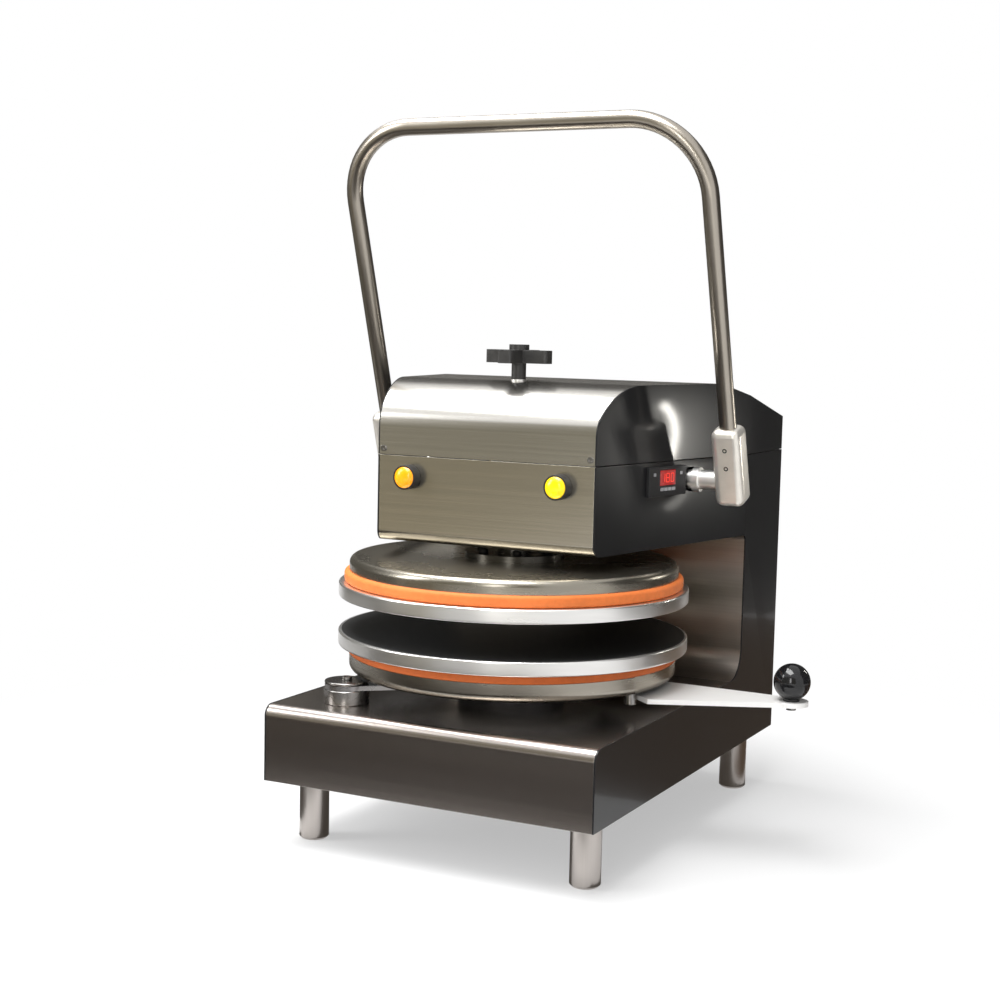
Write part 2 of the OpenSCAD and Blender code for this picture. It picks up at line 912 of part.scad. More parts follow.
module coil_spring() {
  last = spring_rings * spring_turns;
  n = spring_sides;
  points = [for (i = [0 : last]) each helix_ring(i)];
  walls = [
    for (i = [0 : last - 1], k = [0 : n - 1])
      let (a = i * n + k, b = i * n + (k + 1) % n)
      each [[a, b, b + n], [a, b + n, a + n]]
  ];
  caps = [
    for (k = [1 : n - 2])
      each [[0, k + 1, k], [last * n, last * n + k, last * n + k + 1]]
  ];
  polyhedron(points, concat(walls, caps));
}

module return_springs() {
  color(bright)
    at_rods()
      translate([0, 0, guide_top + spring_wire_d / 2 + pass_gap]) coil_spring();
}

module top_bridge() {
  color(iron)
    difference() {
      block(
        [-frame_gap_w / 2, guide_front_y, bridge_z],
        [frame_gap_w / 2, guide_front_y + guide_d, frame_top]
      );
      at_platen() cylinder(r = spindle_bush_r, h = big);
    }
}

module shaft_bushes() {
  color(bronze)
    at_shaft()
      for (x = [-1, 1])
        translate([x * (frame_gap_w + frame_t) / 2, 0, 0])
          rotate([0, 90, 0])
            tube(shaft_d / 2 + bush_t, shaft_d / 2 + run_gap, -frame_t / 2, frame_t / 2);
}

module spindle_bush() {
  color(bright)
    at_platen()
      tube(spindle_bush_r, spindle_d / 2 + run_gap, bridge_z, head_top + bush_collar_t);
}

// Lower platen's supports
module anvil_block() {
  color(iron)
    at_platen()
      translate([0, 0, base_top]) cylinder(d = anvil_d, h = carrier_z - pass_gap - base_top);
}

module at_pivot() {
  translate([pivot_x, pivot_y, 0]) children();
}

module pivot_post() {
  color(bright)
    at_pivot() {
      translate([0, 0, base_top]) cylinder(d = pivot_boss_d, h = pivot_boss_h);
      translate([0, 0, base_top]) cylinder(d = pivot_pin_d, h = arm_top + pass_gap - base_top);
    }
}

module pivot_cap() {
  color(steel)
    at_pivot()
      translate([0, 0, arm_top + pass_gap]) cylinder(d = pivot_cap_d, h = cap_t);
}

// Controls on the head
module button_housing() {
  bore_r = plunger_d / 2 + pass_gap;
  tube(housing_d / 2, button_d / 2 + pass_gap, housing_t, housing_proud);
  tube(housing_d / 2, bore_r, 0, housing_t);
  tube(barrel_d / 2, bore_r, -barrel_len, 0);
}

module button_housings() {
  color(black)
    for (x = [-1, 1])
      on_front(x * button_spacing / 2, button_z) button_housing();
}

module switch_bodies() {
  half_s = switch_size / 2;
  color(black)
    for (x = [-1, 1])
      on_front(x * button_spacing / 2, button_z)
        block(
          [-half_s, -half_s, -barrel_len - switch_size],
          [half_s, half_s, -barrel_len]
        );
}

// Lens with a plunger behind it; local Z points out to the front
module button() {
  lens_z = housing_t + button_travel + pass_gap;
  edge_z = button_proud - lens_chamfer;
  translate([0, 0, lens_z]) cylinder(d = button_d, h = edge_z - lens_z);
  translate([0, 0, edge_z])
    cylinder(d1 = button_d, d2 = button_d - 2 * lens_chamfer, h = lens_chamfer);
  translate([0, 0, button_travel + pass_gap - barrel_len])
    cylinder(d = plunger_d, h = barrel_len + housing_t);
}

module button_left() {
  color("orange") on_front(-button_spacing / 2, button_z) button();
}

module button_right() {
  color("gold") on_front(button_spacing / 2, button_z) button();
}

module controller_face() {
  color(black)
    on_right_side(panel_y, panel_z)
      difference() {
        block([0, -panel_len / 2, -panel_h / 2], [panel_t, panel_len / 2, panel_h / 2]);
        translate([0, display_y, display_z])
          block(
            [panel_t - display_t, -display_len / 2, -display_h / 2],
            [panel_t + cut, display_len / 2, display_h / 2]
          );
      }
}

module controller_window() {
  color("red")
    on_right_side(panel_y, panel_z)
      translate([panel_t - display_t, display_y, display_z])
        block(
          [0, -display_len / 2 + pass_gap, -display_h / 2 + pass_gap],
          [display_t - pass_gap, display_len / 2 - pass_gap, display_h / 2 - pass_gap]
        );
}

module controller_body() {
  half_h = panel_h / 2 - panel_lap - pass_gap;
  color(black)
    on_right_side(panel_y, panel_z)
      block(
        [-controller_d, -controller_half_len, -half_h],
        [0, controller_half_len, half_h]
      );
}

module at_gland() {
  translate([gland_inset - side_x, rear_y, leg_h + base_h / 2]) children();
}

module cable_gland() {
  taper_h = gland_proud - gland_collar_t;
  color(black)
    at_gland()
      rotate([-90, 0, 0])
        difference() {
          union() {
            translate([0, 0, -gland_thread])
              cylinder(d = gland_thread_d, h = gland_thread + gland_collar_t);
            cylinder(d = gland_d, h = gland_collar_t);
            translate([0, 0, gland_collar_t])
              cylinder(d1 = gland_d, d2 = gland_thread_d, h = taper_h);
          }
          cylinder(d = gland_bore_d, h = big, center = true);
        }
}

// Domed cover screw; local Z points out of the sheet
module cover_screw() {
  cylinder(d1 = screw_d, d2 = screw_d * screw_top_share, h = screw_h);
}

module cover_screws() {
  front_x = head_front_w / 2 - hood_screw_inset;
  rear_x = side_x - rear_screw_inset;
  rear_levels = [leg_h + rear_screw_inset, head_z, seam_z - rear_screw_inset];
  color(bright) {
    for (x = [-1, 1])
      on_front(x * front_x, seam_z + hood_screw_inset) cover_screw();
    for (x = [-1, 1], z = rear_levels)
      translate([x * rear_x, rear_y, z]) rotate([-90, 0, 0]) cover_screw();
  }
}

// Handle, shaft and pinion
module cross_shaft() {
  color(bright) at_shaft() rod_x(shaft_d / 2, -shaft_half, shaft_half);
}

// Half angle of a pinion tooth at radius r
function tooth_half(r) =
  let (
    a0 = pressure_angle,
    a = acos(min(1, gear_base_r / r)),
    roll0 = tan(a0) * 180 / PI - a0,
    roll = tan(a) * 180 / PI - a
  )
  tooth_w / 2 / pitch_r * 180 / PI + roll0 - roll;

// Radii along a tooth flank, from the root to the tip
function flank_radii() = [
  gear_root_r,
  for (i = [0 : flank_steps]) gear_base_r + (gear_tip_r - gear_base_r) * i / flank_steps
];

module pinion_outline() {
  radii = flank_radii();
  last = len(radii) - 1;
  polygon([
    for (t = [0 : pinion_teeth - 1])
      let (mid = 180 + 360 * t / pinion_teeth)
      each [
        for (i = [0 : last])
          let (r = radii[i], a = mid - tooth_half(max(r, gear_base_r)))
          r * [cos(a), sin(a)],
        for (i = [last : -1 : 0])
          let (r = radii[i], a = mid + tooth_half(max(r, gear_base_r)))
          r * [cos(a), sin(a)]
      ]
  ]);
}

module drive_pinion() {
  color(iron)
    at_shaft()
      difference() {
        along_x(-gear_w / 2, gear_w) pinion_outline();
        rod_x(shaft_d / 2, -gear_w, gear_w);
      }
}

module shaft_collars() {
  color(bright)
    at_shaft()
      for (x = [-1, 1])
        rotate([0, x * 90, 0])
          tube(collar_d / 2, shaft_d / 2, collar_x, collar_x + collar_w);
}

// Handle frame: the shaft axis at the origin, the arms along local Z
module at_handle() {
  at_shaft() rotate([handle_lean, 0, 0]) children();
}

// U of round bar: two arms, two bends and the grip bar
module bail(r, start) {
  bend_z = handle_len - handle_bend_r;
  bend_x = arm_x - handle_bend_r;
  for (x = [-1, 1]) {
    translate([x * arm_x, 0, start]) cylinder(r = r, h = bend_z - start);
    translate([x * bend_x, 0, bend_z])
      rotate([90, 0, 0])
        rotate_extrude(start = x > 0 ? 0 : 90, angle = 90, $fn = 128)
          translate([handle_bend_r, 0]) circle(r);
  }
  translate([0, 0, handle_len]) rod_x(r, -bend_x, bend_x);
}

module handle_tube() {
  color(bright)
    at_handle()
      difference() {
        bail(tube_d / 2, tube_start);
        bail(tube_d / 2 - tube_t, tube_start - cut);
      }
}

// Rectangle with four rounded corners
module round_rect(low, high, r) {
  for (x = [low[0] + r, high[0] - r], z = [low[1] + r, high[1] - r])
    translate([x, z]) circle(r, $fn = 96);
  rect(low + [r, 0], high - [r, 0]);
  rect(low + [0, r], high - [0, r]);
}

// Handle block on one side: rounded at the front and at the side
module handle_block(side) {
  at_handle()
    difference() {
      intersection() {
        translate([side * arm_x, 0, 0])
          rotate([90, 0, 0])
            linear_extrude(block_d, center = true)
              round_rect([-block_w / 2, -block_drop], [block_w / 2, block_rise], block_corner_r);
        along_x(side * arm_x - block_w, 2 * block_w)
          round_rect([-block_d / 2, -block_drop], [block_d / 2, block_rise], block_side_r);
      }
      rod_x(shaft_d / 2, -shaft_half, shaft_half);
      translate([side * arm_x, 0, tube_start]) cylinder(d = tube_d, h = big);
      at_set_screws(side) cylinder(d = set_screw_d, h = big);
    }
}

// Set screw places on a block's front: local Z points out to the front
module at_set_screws(side) {
  for (s = set_screw_shares)
    translate([side * arm_x, set_screw_t - block_d / 2, s * block_rise])
      rotate([90, 0, 0]) children();
}

module handle_block_left() {
  color(bright) handle_block(-1);
}

module handle_block_right() {
  color(bright) handle_block(1);
}

module block_set_screws() {
  color(iron)
    at_handle()
      for (side = [-1, 1])
        at_set_screws(side) cylinder(d = set_screw_d, h = set_screw_t - pass_gap);
}

// Ram and upper platen
module ram() {
  color(bright)
    at_platen()
      difference() {
        union() {
          translate([0, 0, cover_top]) cylinder(d = flange_d, h = flange_t);
          translate([0, 0, cover_top]) cylinder(d = ram_d, h = ram_top - cover_top);
        }
        translate([0, 0, flange_top]) cylinder(d = ram_bore_d, h = big);
      }
}

module ram_yoke() {
  color(iron)
    difference() {
      block([-yoke_w / 2, yoke_front_y, yoke_z], [yoke_w / 2, rack_back_y, yoke_top]);
      at_platen() translate([0, 0, yoke_z - cut]) cylinder(d = ram_d, h = ram_top - yoke_z + cut);
      at_platen() cylinder(r = spindle_d / 2 + pass_gap, h = big);
      at_rods() cylinder(r = rod_d / 2 + run_gap, h = big);
    }
}

// Rack with a tooth space level with the shaft axis
module drive_rack() {
  half_tip = tooth_w / 2 - gear_module * tip_share * tan(pressure_angle);
  half_root = tooth_w / 2 + gear_module * root_share * tan(pressure_angle);
  color(iron)
    along_x(-gear_w / 2, gear_w)
      polygon([
        [rack_back_y, rack_bottom],
        [rack_root_y, rack_bottom],
        for (i = [0 : rack_teeth - 1])
          let (z = rack_bottom + gear_pitch * (i + 1 / 2))
          each [
            [rack_root_y, z - half_root],
            [rack_tip_y, z - half_tip],
            [rack_tip_y, z + half_tip],
            [rack_root_y, z + half_root]
          ],
        [rack_root_y, yoke_top],
        [rack_back_y, yoke_top]
      ]);
}

// Four bosses round the platen axis between two heights
module bosses(z0, z1) {
  for (a = [45 : 90 : 315])
    rotate([0, 0, a])
      translate([boss_ring_d / 2, 0, z0]) cylinder(d = boss_d, h = z1 - z0);
}

module upper_platen() {
  color(bright)
    at_platen() {
      translate([0, 0, upper_z]) cylinder(r = platen_r, h = platen_t, $fn = 128);
      bosses(upper_plate_top - platen_t / 2, cover_top - sheet_t);
    }
}

module upper_seal() {
  color(seal_orange)
    at_platen()
      tube(upper_seal_d / 2, upper_seal_d / 2 - seal_w, upper_plate_top, cover_z, $fn = 128);
}

// Half section of a flat round pan with a rounded edge, its flat side down at height 0
module pan_section(r, h, bend_r) {
  difference() {
    pan_fill(r, h, bend_r, 0);
    pan_fill(r, h, bend_r, sheet_t);
  }
}

// Filled half section of that pan, drawn in by s; open at the top
module pan_fill(r, h, bend_r, s) {
  top = s > 0 ? h + cut : h;
  rect([0, s], [r - bend_r, top]);
  rect([0, bend_r], [r - s, top]);
  translate([r - bend_r, bend_r])
    intersection() {
      circle(bend_r - s, $fn = 96);
      translate([0, -bend_r]) square(bend_r);
    }
}

module upper_cover() {
  color(iron)
    at_platen()
      translate([0, 0, cover_top])
        mirror([0, 0, 1])
          rotate_extrude($fn = 128) pan_section(cover_d / 2, cover_h, cover_bend_r);
}

// Heating ring lying at height z
module heating_ring(z) {
  at_platen()
    translate([0, 0, z])
      rotate_extrude($fn = 128) translate([heater_d / 2, 0]) circle(d = heater_rod_d);
}

module upper_heater() {
  color(dark_sheet) heating_ring(upper_plate_top + heater_rod_d / 2 + pass_gap);
}

// Thickness adjuster
module adjust_knob() {
  stem_z = head_top + bush_collar_t + pass_gap;
  half_span = knob_span / 2;
  color(black)
    at_platen()
      difference() {
        union() {
          translate([0, 0, stem_z]) cylinder(d = stem_d, h = knob_z - stem_z + knob_arm_t);
          translate([0, 0, knob_z]) cylinder(d = knob_hub_d, h = knob_arm_t + knob_hub_rise);
          for (a = [0, 90])
            rotate([0, 0, a])
              translate([0, 0, knob_z])
                linear_extrude(knob_arm_t)
                  round_rect(
                    [-half_span, -knob_arm_w / 2], [half_span, knob_arm_w / 2], knob_corner_r
                  );
        }
        cylinder(d = spindle_d, h = knob_z + knob_arm_t / 2);
      }
}

module adjust_spindle() {
  bottom = stop_top - stop_nut_h * 2;
  color(bright)
    at_platen() {
      translate([0, 0, bottom]) cylinder(d = spindle_d, h = knob_z + knob_arm_t / 2 - bottom);
      translate([0, 0, bridge_z - pass_gap - spindle_collar_t])
        cylinder(r = spindle_bush_r - pass_gap, h = spindle_collar_t);
    }
}

module stop_nut() {
  color(bronze)
    at_platen()
      tube(stop_nut_d / 2, spindle_d / 2 + run_gap, stop_top - stop_nut_h, stop_top);
}

// Swing arm and lower platen
module at_ball() {
  translate(concat(ball_place, [0])) children();
}

// Tapered plate from the pivot to the carrier disc
module root_plate() {
  at_pivot()
    translate([0, 0, arm_z])
      rotate([0, 0, root_turn])
        linear_extrude(arm_t)
          polygon([
            [0, -arm_root_w / 2], [root_plate_len, -root_plate_w / 2],
            [root_plate_len, root_plate_w / 2], [0, arm_root_w / 2]
          ]);
}

// Tapered plate from the carrier disc to the ball knob
module handle_plate() {
  translate([0, 0, arm_z])
    linear_extrude(arm_t)
      polygon([
        near_corner, ball_place - plate_side * arm_tip_w / 2,
        ball_place + plate_side * arm_tip_w / 2, far_corner
      ]);
}

module swing_arm() {
  color(bright)
    difference() {
      union() {
        root_plate();
        handle_plate();
        at_pivot()
          translate([0, 0, arm_z])
            rotate([0, 0, 180]) cylinder(d = pivot_cap_d - 2 * pass_gap, h = arm_t);
        at_ball() translate([0, 0, arm_z]) cylinder(d = arm_end_d, h = arm_t);
        at_platen() translate([0, 0, carrier_z]) cylinder(d = carrier_d, h = pan_z - carrier_z);
      }
      at_pivot() cylinder(r = pivot_pin_d / 2 + run_gap, h = big);
      at_ball() cylinder(d = ball_stud_d, h = big);
    }
}

module lower_platen() {
  color(bright)
    at_platen() {
      translate([0, 0, lower_plate_z]) cylinder(r = platen_r, h = platen_t, $fn = 128);
      bosses(pan_z + sheet_t, lower_plate_z + platen_t / 2);
    }
}

module lower_seal() {
  color(seal_orange)
    at_platen()
      tube(lower_seal_d / 2, lower_seal_d / 2 - seal_w, pan_top, lower_plate_z, $fn = 128);
}

module lower_pan() {
  color(iron)
    at_platen()
      translate([0, 0, pan_z])
        rotate_extrude($fn = 128) pan_section(pan_d / 2, pan_h, pan_bend_r);
}

module lower_heater() {
  color(dark_sheet) heating_ring(lower_plate_z - heater_rod_d / 2 - pass_gap);
}

// Bolt under the root plate and stud under the pan
module arm_bolts() {
  color(bright) {
    at_pivot()
      rotate([0, 0, root_turn])
        translate([root_bolt_reach, 0, arm_z - arm_bolt_h])
          cylinder(d = arm_bolt_d, h = arm_bolt_h);
    translate(concat(round_platen(pan_stud_r, pan_stud_angle), [arm_z - arm_bolt_h]))
      cylinder(d = arm_bolt_d, h = pan_z - arm_z + arm_bolt_h);
  }
}

module ball_knob() {
  color(black)
    at_ball()
      difference() {
        union() {
          translate([0, 0, ball_z]) sphere(d = ball_d, $fn = 96);
          translate([0, 0, arm_top]) cylinder(d = ball_neck_d, h = ball_z - arm_top);
        }
        cylinder(d = ball_stud_d, h = ball_z);
      }
}

module ball_stud() {
  color(bright)
    at_ball()
      translate([0, 0, arm_z - arm_bolt_h])
        cylinder(d = ball_stud_d, h = ball_z - arm_z + arm_bolt_h);
}

legs();
leg_bars();
bottom_plate();
base_cover();
column_cover();
rear_cover();
side_panel_left();
side_panel_right();
head_front();
hood();
hood_cheek_left();
hood_cheek_right();
frame_plate_left();
frame_plate_right();
anvil_plate();
spine_plate();
guide_block();
guide_bush();
guide_rods();
return_springs();
top_bridge();
shaft_bushes();
spindle_bush();
anvil_block();
pivot_post();
pivot_cap();
button_housings();
switch_bodies();
controller_face();
controller_window();
controller_body();
cable_gland();
cover_screws();
cross_shaft();
drive_pinion();
shaft_collars();
handle_tube();
handle_block_left();
handle_block_right();
block_set_screws();
ram();
ram_yoke();
drive_rack();
upper_platen();
upper_seal();
upper_cover();
upper_heater();
adjust_knob();
adjust_spindle();
stop_nut();
swing_arm();
lower_platen();
lower_seal();
lower_pan();
lower_heater();
arm_bolts();
ball_knob();
ball_stud();
button_left();
button_right();
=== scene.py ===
import json
import math

import bmesh
import bpy
from mathutils import Matrix, Quaternion, Vector


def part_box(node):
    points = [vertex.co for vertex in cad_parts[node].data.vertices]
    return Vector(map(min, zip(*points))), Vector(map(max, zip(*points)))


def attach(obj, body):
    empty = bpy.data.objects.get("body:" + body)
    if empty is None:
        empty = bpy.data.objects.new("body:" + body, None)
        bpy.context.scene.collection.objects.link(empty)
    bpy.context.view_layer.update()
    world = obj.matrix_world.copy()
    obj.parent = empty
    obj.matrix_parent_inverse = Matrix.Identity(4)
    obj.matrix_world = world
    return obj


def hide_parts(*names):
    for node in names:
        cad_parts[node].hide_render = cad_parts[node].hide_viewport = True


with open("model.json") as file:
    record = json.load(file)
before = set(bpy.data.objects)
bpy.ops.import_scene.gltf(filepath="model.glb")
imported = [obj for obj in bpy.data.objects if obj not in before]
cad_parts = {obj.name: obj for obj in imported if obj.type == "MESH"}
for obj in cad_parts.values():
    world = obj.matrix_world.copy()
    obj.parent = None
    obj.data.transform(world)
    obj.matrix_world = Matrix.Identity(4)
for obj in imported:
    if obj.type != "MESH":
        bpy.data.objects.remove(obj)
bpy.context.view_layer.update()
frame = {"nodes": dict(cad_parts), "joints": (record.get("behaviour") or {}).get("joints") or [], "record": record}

scene = bpy.context.scene
MM = 0.001
UP = Vector((0, 0, 1))
FORWARD = Vector((0, -1, 0))
FULL_TURN = 2 * math.pi
QUARTER_TURN = math.pi / 2

# Camera, as the photograph was taken
CAMERA_PLACE = Vector((0.987, -2.086, 0.6555))
CAMERA_TARGET = Vector((-0.0354, -0.0615, 0.4304))
CAMERA_ROLL = math.radians(1.304)
CAMERA_LENS = 61.77
SENSOR_W = 36

# Mesh making
WELD = 0.002 * MM
FLAT = math.radians(0.6)
CREASE = math.radians(28)
SMOOTH = math.radians(38)
SPIN_STEPS = 128
SMALL_STEPS = 48
SCREW_STEPS = 24
TUBE_SIDES = 32
BEND_STEPS = 16
RING_SLACK = MM / 2

# Rounded edges, and how many faces make a round
SHEET_EDGE = 0.55 * MM
PLATE_EDGE = 2.2 * MM
ARM_EDGE = 1.4 * MM
KNOB_EDGE = 2.6 * MM
SMALL_EDGE = 0.7 * MM
KEY_EDGE = 0.4 * MM
BLOCK_CORNER = 10.0 * MM
FINE_ROUND = 2
PLAIN_ROUND = 3
SOFT_ROUND = 4
FULL_ROUND = 6

# Sizes that the frame's boxes don't give
TUBE_R = 11 * MM
HANDLE_BEND_R = 98 * MM
TUBE_START = 23 * MM
LEG_FOOT = 3 * MM
SEAL_W = 14 * MM
SHEET_T = 2 * MM
COVER_BEND_R = 9 * MM
PAN_BEND_R = 11 * MM
BALL_R = 23 * MM
BALL_NECK_R = 10.5 * MM
FLANGE_T = 8 * MM
FLANGE_BOLTS = 6
FLANGE_BOLT_RING = 48 * MM
PLUNGER_R = 6 * MM
LENS_BACK = 5.3 * MM
SET_SCREW_LEN = 7.6 * MM
SET_SCREW_TIP = 0.7 * MM

# How much tighter a casing's bend is on its inside
INNER_BEND_LESS = 0.75 * SHEET_T

# Rounding of a seal's section, as a share of its height
SEAL_ROUND = 0.3

# Screws: radius, height, socket radius, socket depth
PIVOT_SCREW = (7 * MM, 4.5 * MM, 3.5 * MM, 2.5 * MM)
FLANGE_BOLT = (6 * MM, 5 * MM, 3 * MM, 2.5 * MM)

# Screw rounding and sockets, as shares of the screw's radius or length
SCREW_ROUND = 0.08
SET_SOCKET_W = 0.55
SET_SOCKET_DEEP = 0.4
COVER_SOCKET_W = 0.4

# Dome of a push-button lens: shares of its radius and of its height
LENS_DOME = ((0, 1), (0.5, 0.98), (0.82, 0.91), (1, 0.78))

# Digits on the window, as shares of its half size
DIGIT_TEXT = "180"
DIGIT_W = 0.36
DIGIT_H = 0.56
DIGIT_BAR = 0.14
DIGIT_PITCH = 0.58
DIGIT_T = 0.5 * MM

# Bars of each digit, clockwise from the top and then the middle one
DIGIT_BARS = {"1": "0110000", "8": "1111111", "0": "1111110"}

# Keys under the window and studs beside it, as shares of the window's half size
KEYS = 4
KEY_SIZE = 0.42
KEY_PITCH = 0.5
KEY_DROP = 1.5
KEY_T = 1.6 * MM
STUD_REACH = 1.72
STUD_RISE = 0.5
STUD_W = 0.7

# Noise scales of the finishes; a pair is across and along the lines, three are X, Y and Z
SCRATCHES = (1900.0, 9.0)
STREAKS = (420.0, 2.0)
DRAW_LINES = (900.0, 5.0)
SHEET_PATCH = 2.5
PANEL_RIPPLE = 4.0
PANEL_SMEAR = (14.0, 9.0, 9.0)
TURNED_SMEAR = (9.0, 9.0, 60.0)
POLISH_SMEAR = 14.0
SILICONE_PATCH = 16.0
STEEL_PATCH = 30.0
CAST_SMEAR = 50.0
PLASTIC_SMEAR = 70.0
SILICONE_DUST = 180.0
LENS_PRISM = 600.0
PLATEN_GRAIN = 700.0
PLASTIC_GRAIN = 900.0
CAST_TOOTH = 1500.0
NOISE_ROUGH = 0.55

# Depth of the finest marks, pitch of the rings on turned metal and share of the tint kept where shade is painted
# under the pan
FINE_MARK = 0.1 * MM
RING_PITCH = 0.7 * MM
PAINTED_SHADE_SHARE = 0.15

# Noise between these values runs from the darker to the lighter shade
SHADE_LOW = 0.3
SHADE_HIGH = 0.7

# Swing arm: where painted shade on the part under the pan turns to bright satin along X, and the two colours
ARM_PAINTED_SHADE_END = -0.12
ARM_SATIN_START = -0.04
ARM_PAINTED_SHADE = (0.46, 0.45, 0.45)
ARM_SATIN = (0.92, 0.91, 0.89)

# Platens: where the dark coat fades, in from the rim and back from the faces, and the shades
COAT_RIM_START = 4.5 * MM
COAT_RIM_END = 3.0 * MM
COAT_DEEP = 3.0 * MM
COAT_SHALLOW = 1.0 * MM
RIM_SHADE = (0.84, 0.83, 0.81)
RIM_BRIGHT = (0.90, 0.89, 0.87)
COAT_SHADE = (0.016, 0.016, 0.016)
COAT_BRIGHT = (0.024, 0.024, 0.024)

# Studio levels
WHITE = (1.0, 1.0, 1.0)
WORLD_FILL = 0.32
FLOOR_HALF = 12
FLOOR_GREY = (0.86, 0.86, 0.86)
FLOOR_WHITE = 0.45
FLOOR_FADE_START = 0.4
FLOOR_FADE_END = 1.1

# Studio cards that reflections show: name, centre, facing, width, height, colour
CARDS = (
    ("front_room", (-0.6, -3.8, 1.4), (0, 1, 0), 8.0, 3.4, (0.26, 0.24, 0.18)),
    ("front_floor", (-2.5, -2.7, 0.006), (0, 0, 1), 3.2, 2.2, (0.44, 0.39, 0.28)),
    ("front_mat", (-0.4, -1.0, 0.004), (0, 0, 1), 2.2, 1.0, (0.03, 0.023, 0.02)),
    ("front_glow", (1.0, -2.2, 0.006), (0, 0, 1), 1.3, 1.4, (1.9, 1.88, 1.84)),
    ("left_floor", (-2.8, -0.4, 0.004), (0, 0, 1), 2.6, 2.4, (0.13, 0.12, 0.10)),
    ("under_shade", (0.0, 0.03, 0.003), (0, 0, 1), 0.44, 0.62, (0.10, 0.09, 0.08)),
    ("left_mat", (-0.72, 0.1, 0.004), (0, 0, 1), 0.9, 1.1, (0.12, 0.11, 0.10)),
    ("back_card", (-1.3, 2.6, 1.6), (0, -1, 0), 5.0, 3.2, (0.05, 0.047, 0.043)),
    ("right_card", (1.25, 1.27, 1.2), (-0.7, -0.71, 0), 3.6, 2.5, (0.08, 0.077, 0.073)),
    ("right_mat", (0.8, 0.9, 0.004), (0, 0, 1), 1.1, 1.6, (0.15, 0.11, 0.08)),
    ("left_card", (-1.9, 0.5, 0.95), (1, 0, 0), 3.6, 1.8, (0.12, 0.115, 0.10)),
)

# Curved strip lights at the right: radius, width, turn, the level direction across them, colour
STRIP_R = 0.067
STRIP_W = 0.013
STRIP_TURN = math.radians(124)
STRIP_ALONG = Vector((-0.718, 0.696, 0)).normalized()
STRIP_TINT = (1.0, 0.97, 0.9)

# Each strip: name, centre, strength
STRIPS = (
    ("bright_strip", (0.639, 0.393, 0.481), 60.0),
    ("faint_strip", (0.642, 0.397, 0.427), 7.0),
)

# Soft lights: name, centre, aim, width, height, watts
SOFT_BOXES = (
    ("top_light", (-0.4, -0.5, 2.6), (0, -0.1, 0.4), 3.0, 1.2, 120),
    ("left_light", (-2.2, -1.6, 1.6), (0, 0, 0.4), 1.0, 1.6, 45),
    ("front_strip", (0.7, -2.9, 1.1), (0, 0, 0.4), 0.5, 1.5, 14),
)


class Value:
    """A shader socket. Sums of values add Math nodes, and node() adds any other node."""

    def __init__(self, tree, socket=None):
        self.tree = tree
        self.socket = socket

    def node(self, kind, settings=None, sockets=None, out=0):
        """Adds a node with its settings first, then its values and links."""
        made = self.tree.nodes.new(kind)
        for name, setting in (settings or {}).items():
            setattr(made, name, setting)
        for name, given in (sockets or {}).items():
            if isinstance(given, Value):
                self.tree.links.new(given.socket, made.inputs[name])
            else:
                made.inputs[name].default_value = given
        return Value(self.tree, made.outputs[out] if made.outputs else None)

    def maths(self, operation, first, second):
        """Adds a Math node."""
        return self.node("ShaderNodeMath", {"operation": operation}, {0: first, 1: second})

    def __add__(self, other):
        return self.maths("ADD", self, other)

    __radd__ = __add__

    def __sub__(self, other):
        return self.maths("SUBTRACT", self, other)

    def __rsub__(self, other):
        return self.maths("SUBTRACT", other, self)

    def __mul__(self, other):
        return self.maths("MULTIPLY", self, other)

    __rmul__ = __mul__

    def __pow__(self, other):
        return self.maths("POWER", self, other)

    def parts(self):
        """X, Y and Z of a vector."""
        split = self.node("ShaderNodeSeparateXYZ", None, {0: self})
        return [Value(self.tree, out) for out in split.socket.node.outputs]

    def step(self, low, high):
        """0 at low, 1 at high, smooth between them."""
        sockets = {"Value": self, "From Min": low, "From Max": high}
        return self.node("ShaderNodeMapRange", {"interpolation_type": "SMOOTHSTEP"}, sockets)

    def noise(self, scale, detail):
        """Noise on these coordinates, with one scale or a scale for each axis."""
        scales = scale if isinstance(scale, tuple) else (scale, scale, scale)
        scaled = self.node("ShaderNodeMapping", None, {"Vector": self, "Scale": scales})
        sockets = {"Vector": scaled, "Scale": 1.0, "Detail": detail, "Roughness": NOISE_ROUGH}
        return self.node("ShaderNodeTexNoise", None, sockets)

    def mix(self, low, high):
        """Colour between two colours by this share."""
        return self.node("ShaderNodeMix", {"data_type": "RGBA"}, {0: self, 6: low, 7: high}, 2)

    def shades(self, tint, dark, light, low=SHADE_LOW, high=SHADE_HIGH):
        """Colour that drifts from a darker to a lighter shade of a tint."""
        return self.step(low, high).mix(rgb(tint, dark), rgb(tint, light))

    def bump(self, strength, depth):
        """Normal from these heights."""
        sockets = {"Strength": strength, "Distance": depth, "Height": self}
        return self.node("ShaderNodeBump", None, sockets)


def rgb(colour, share=1.0):
    """Colour for a socket, darker or lighter by a share."""
    return (*(channel * share for channel in colour), 1.0)


def middle(node):
    """Centre of a CAD node's box."""
    low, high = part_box(node)
    return (low + high) / 2


def half_size(node):
    """Half of a CAD node's box."""
    low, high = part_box(node)
    return (high - low) / 2


def body_of(node):
    """Body that a CAD node rides on."""
    bodies = frame["record"]["behaviour"]["bodies"]
    return next(body for body, nodes in bodies.items() if node in nodes)


def slot_of(node):
    """Material slot of a CAD node."""
    rows = frame["record"]["subparts"]
    return next(row["material_slot"] for row in rows if row["node"] == node)


def limits(points):
    """Lowest and highest corner of a set of points."""
    low = Vector(min(point[i] for point in points) for i in range(3))
    high = Vector(max(point[i] for point in points) for i in range(3))
    return low, high


platen_centre = middle("upper_platen")
platen_axis = Vector((platen_centre.x, platen_centre.y, 0))


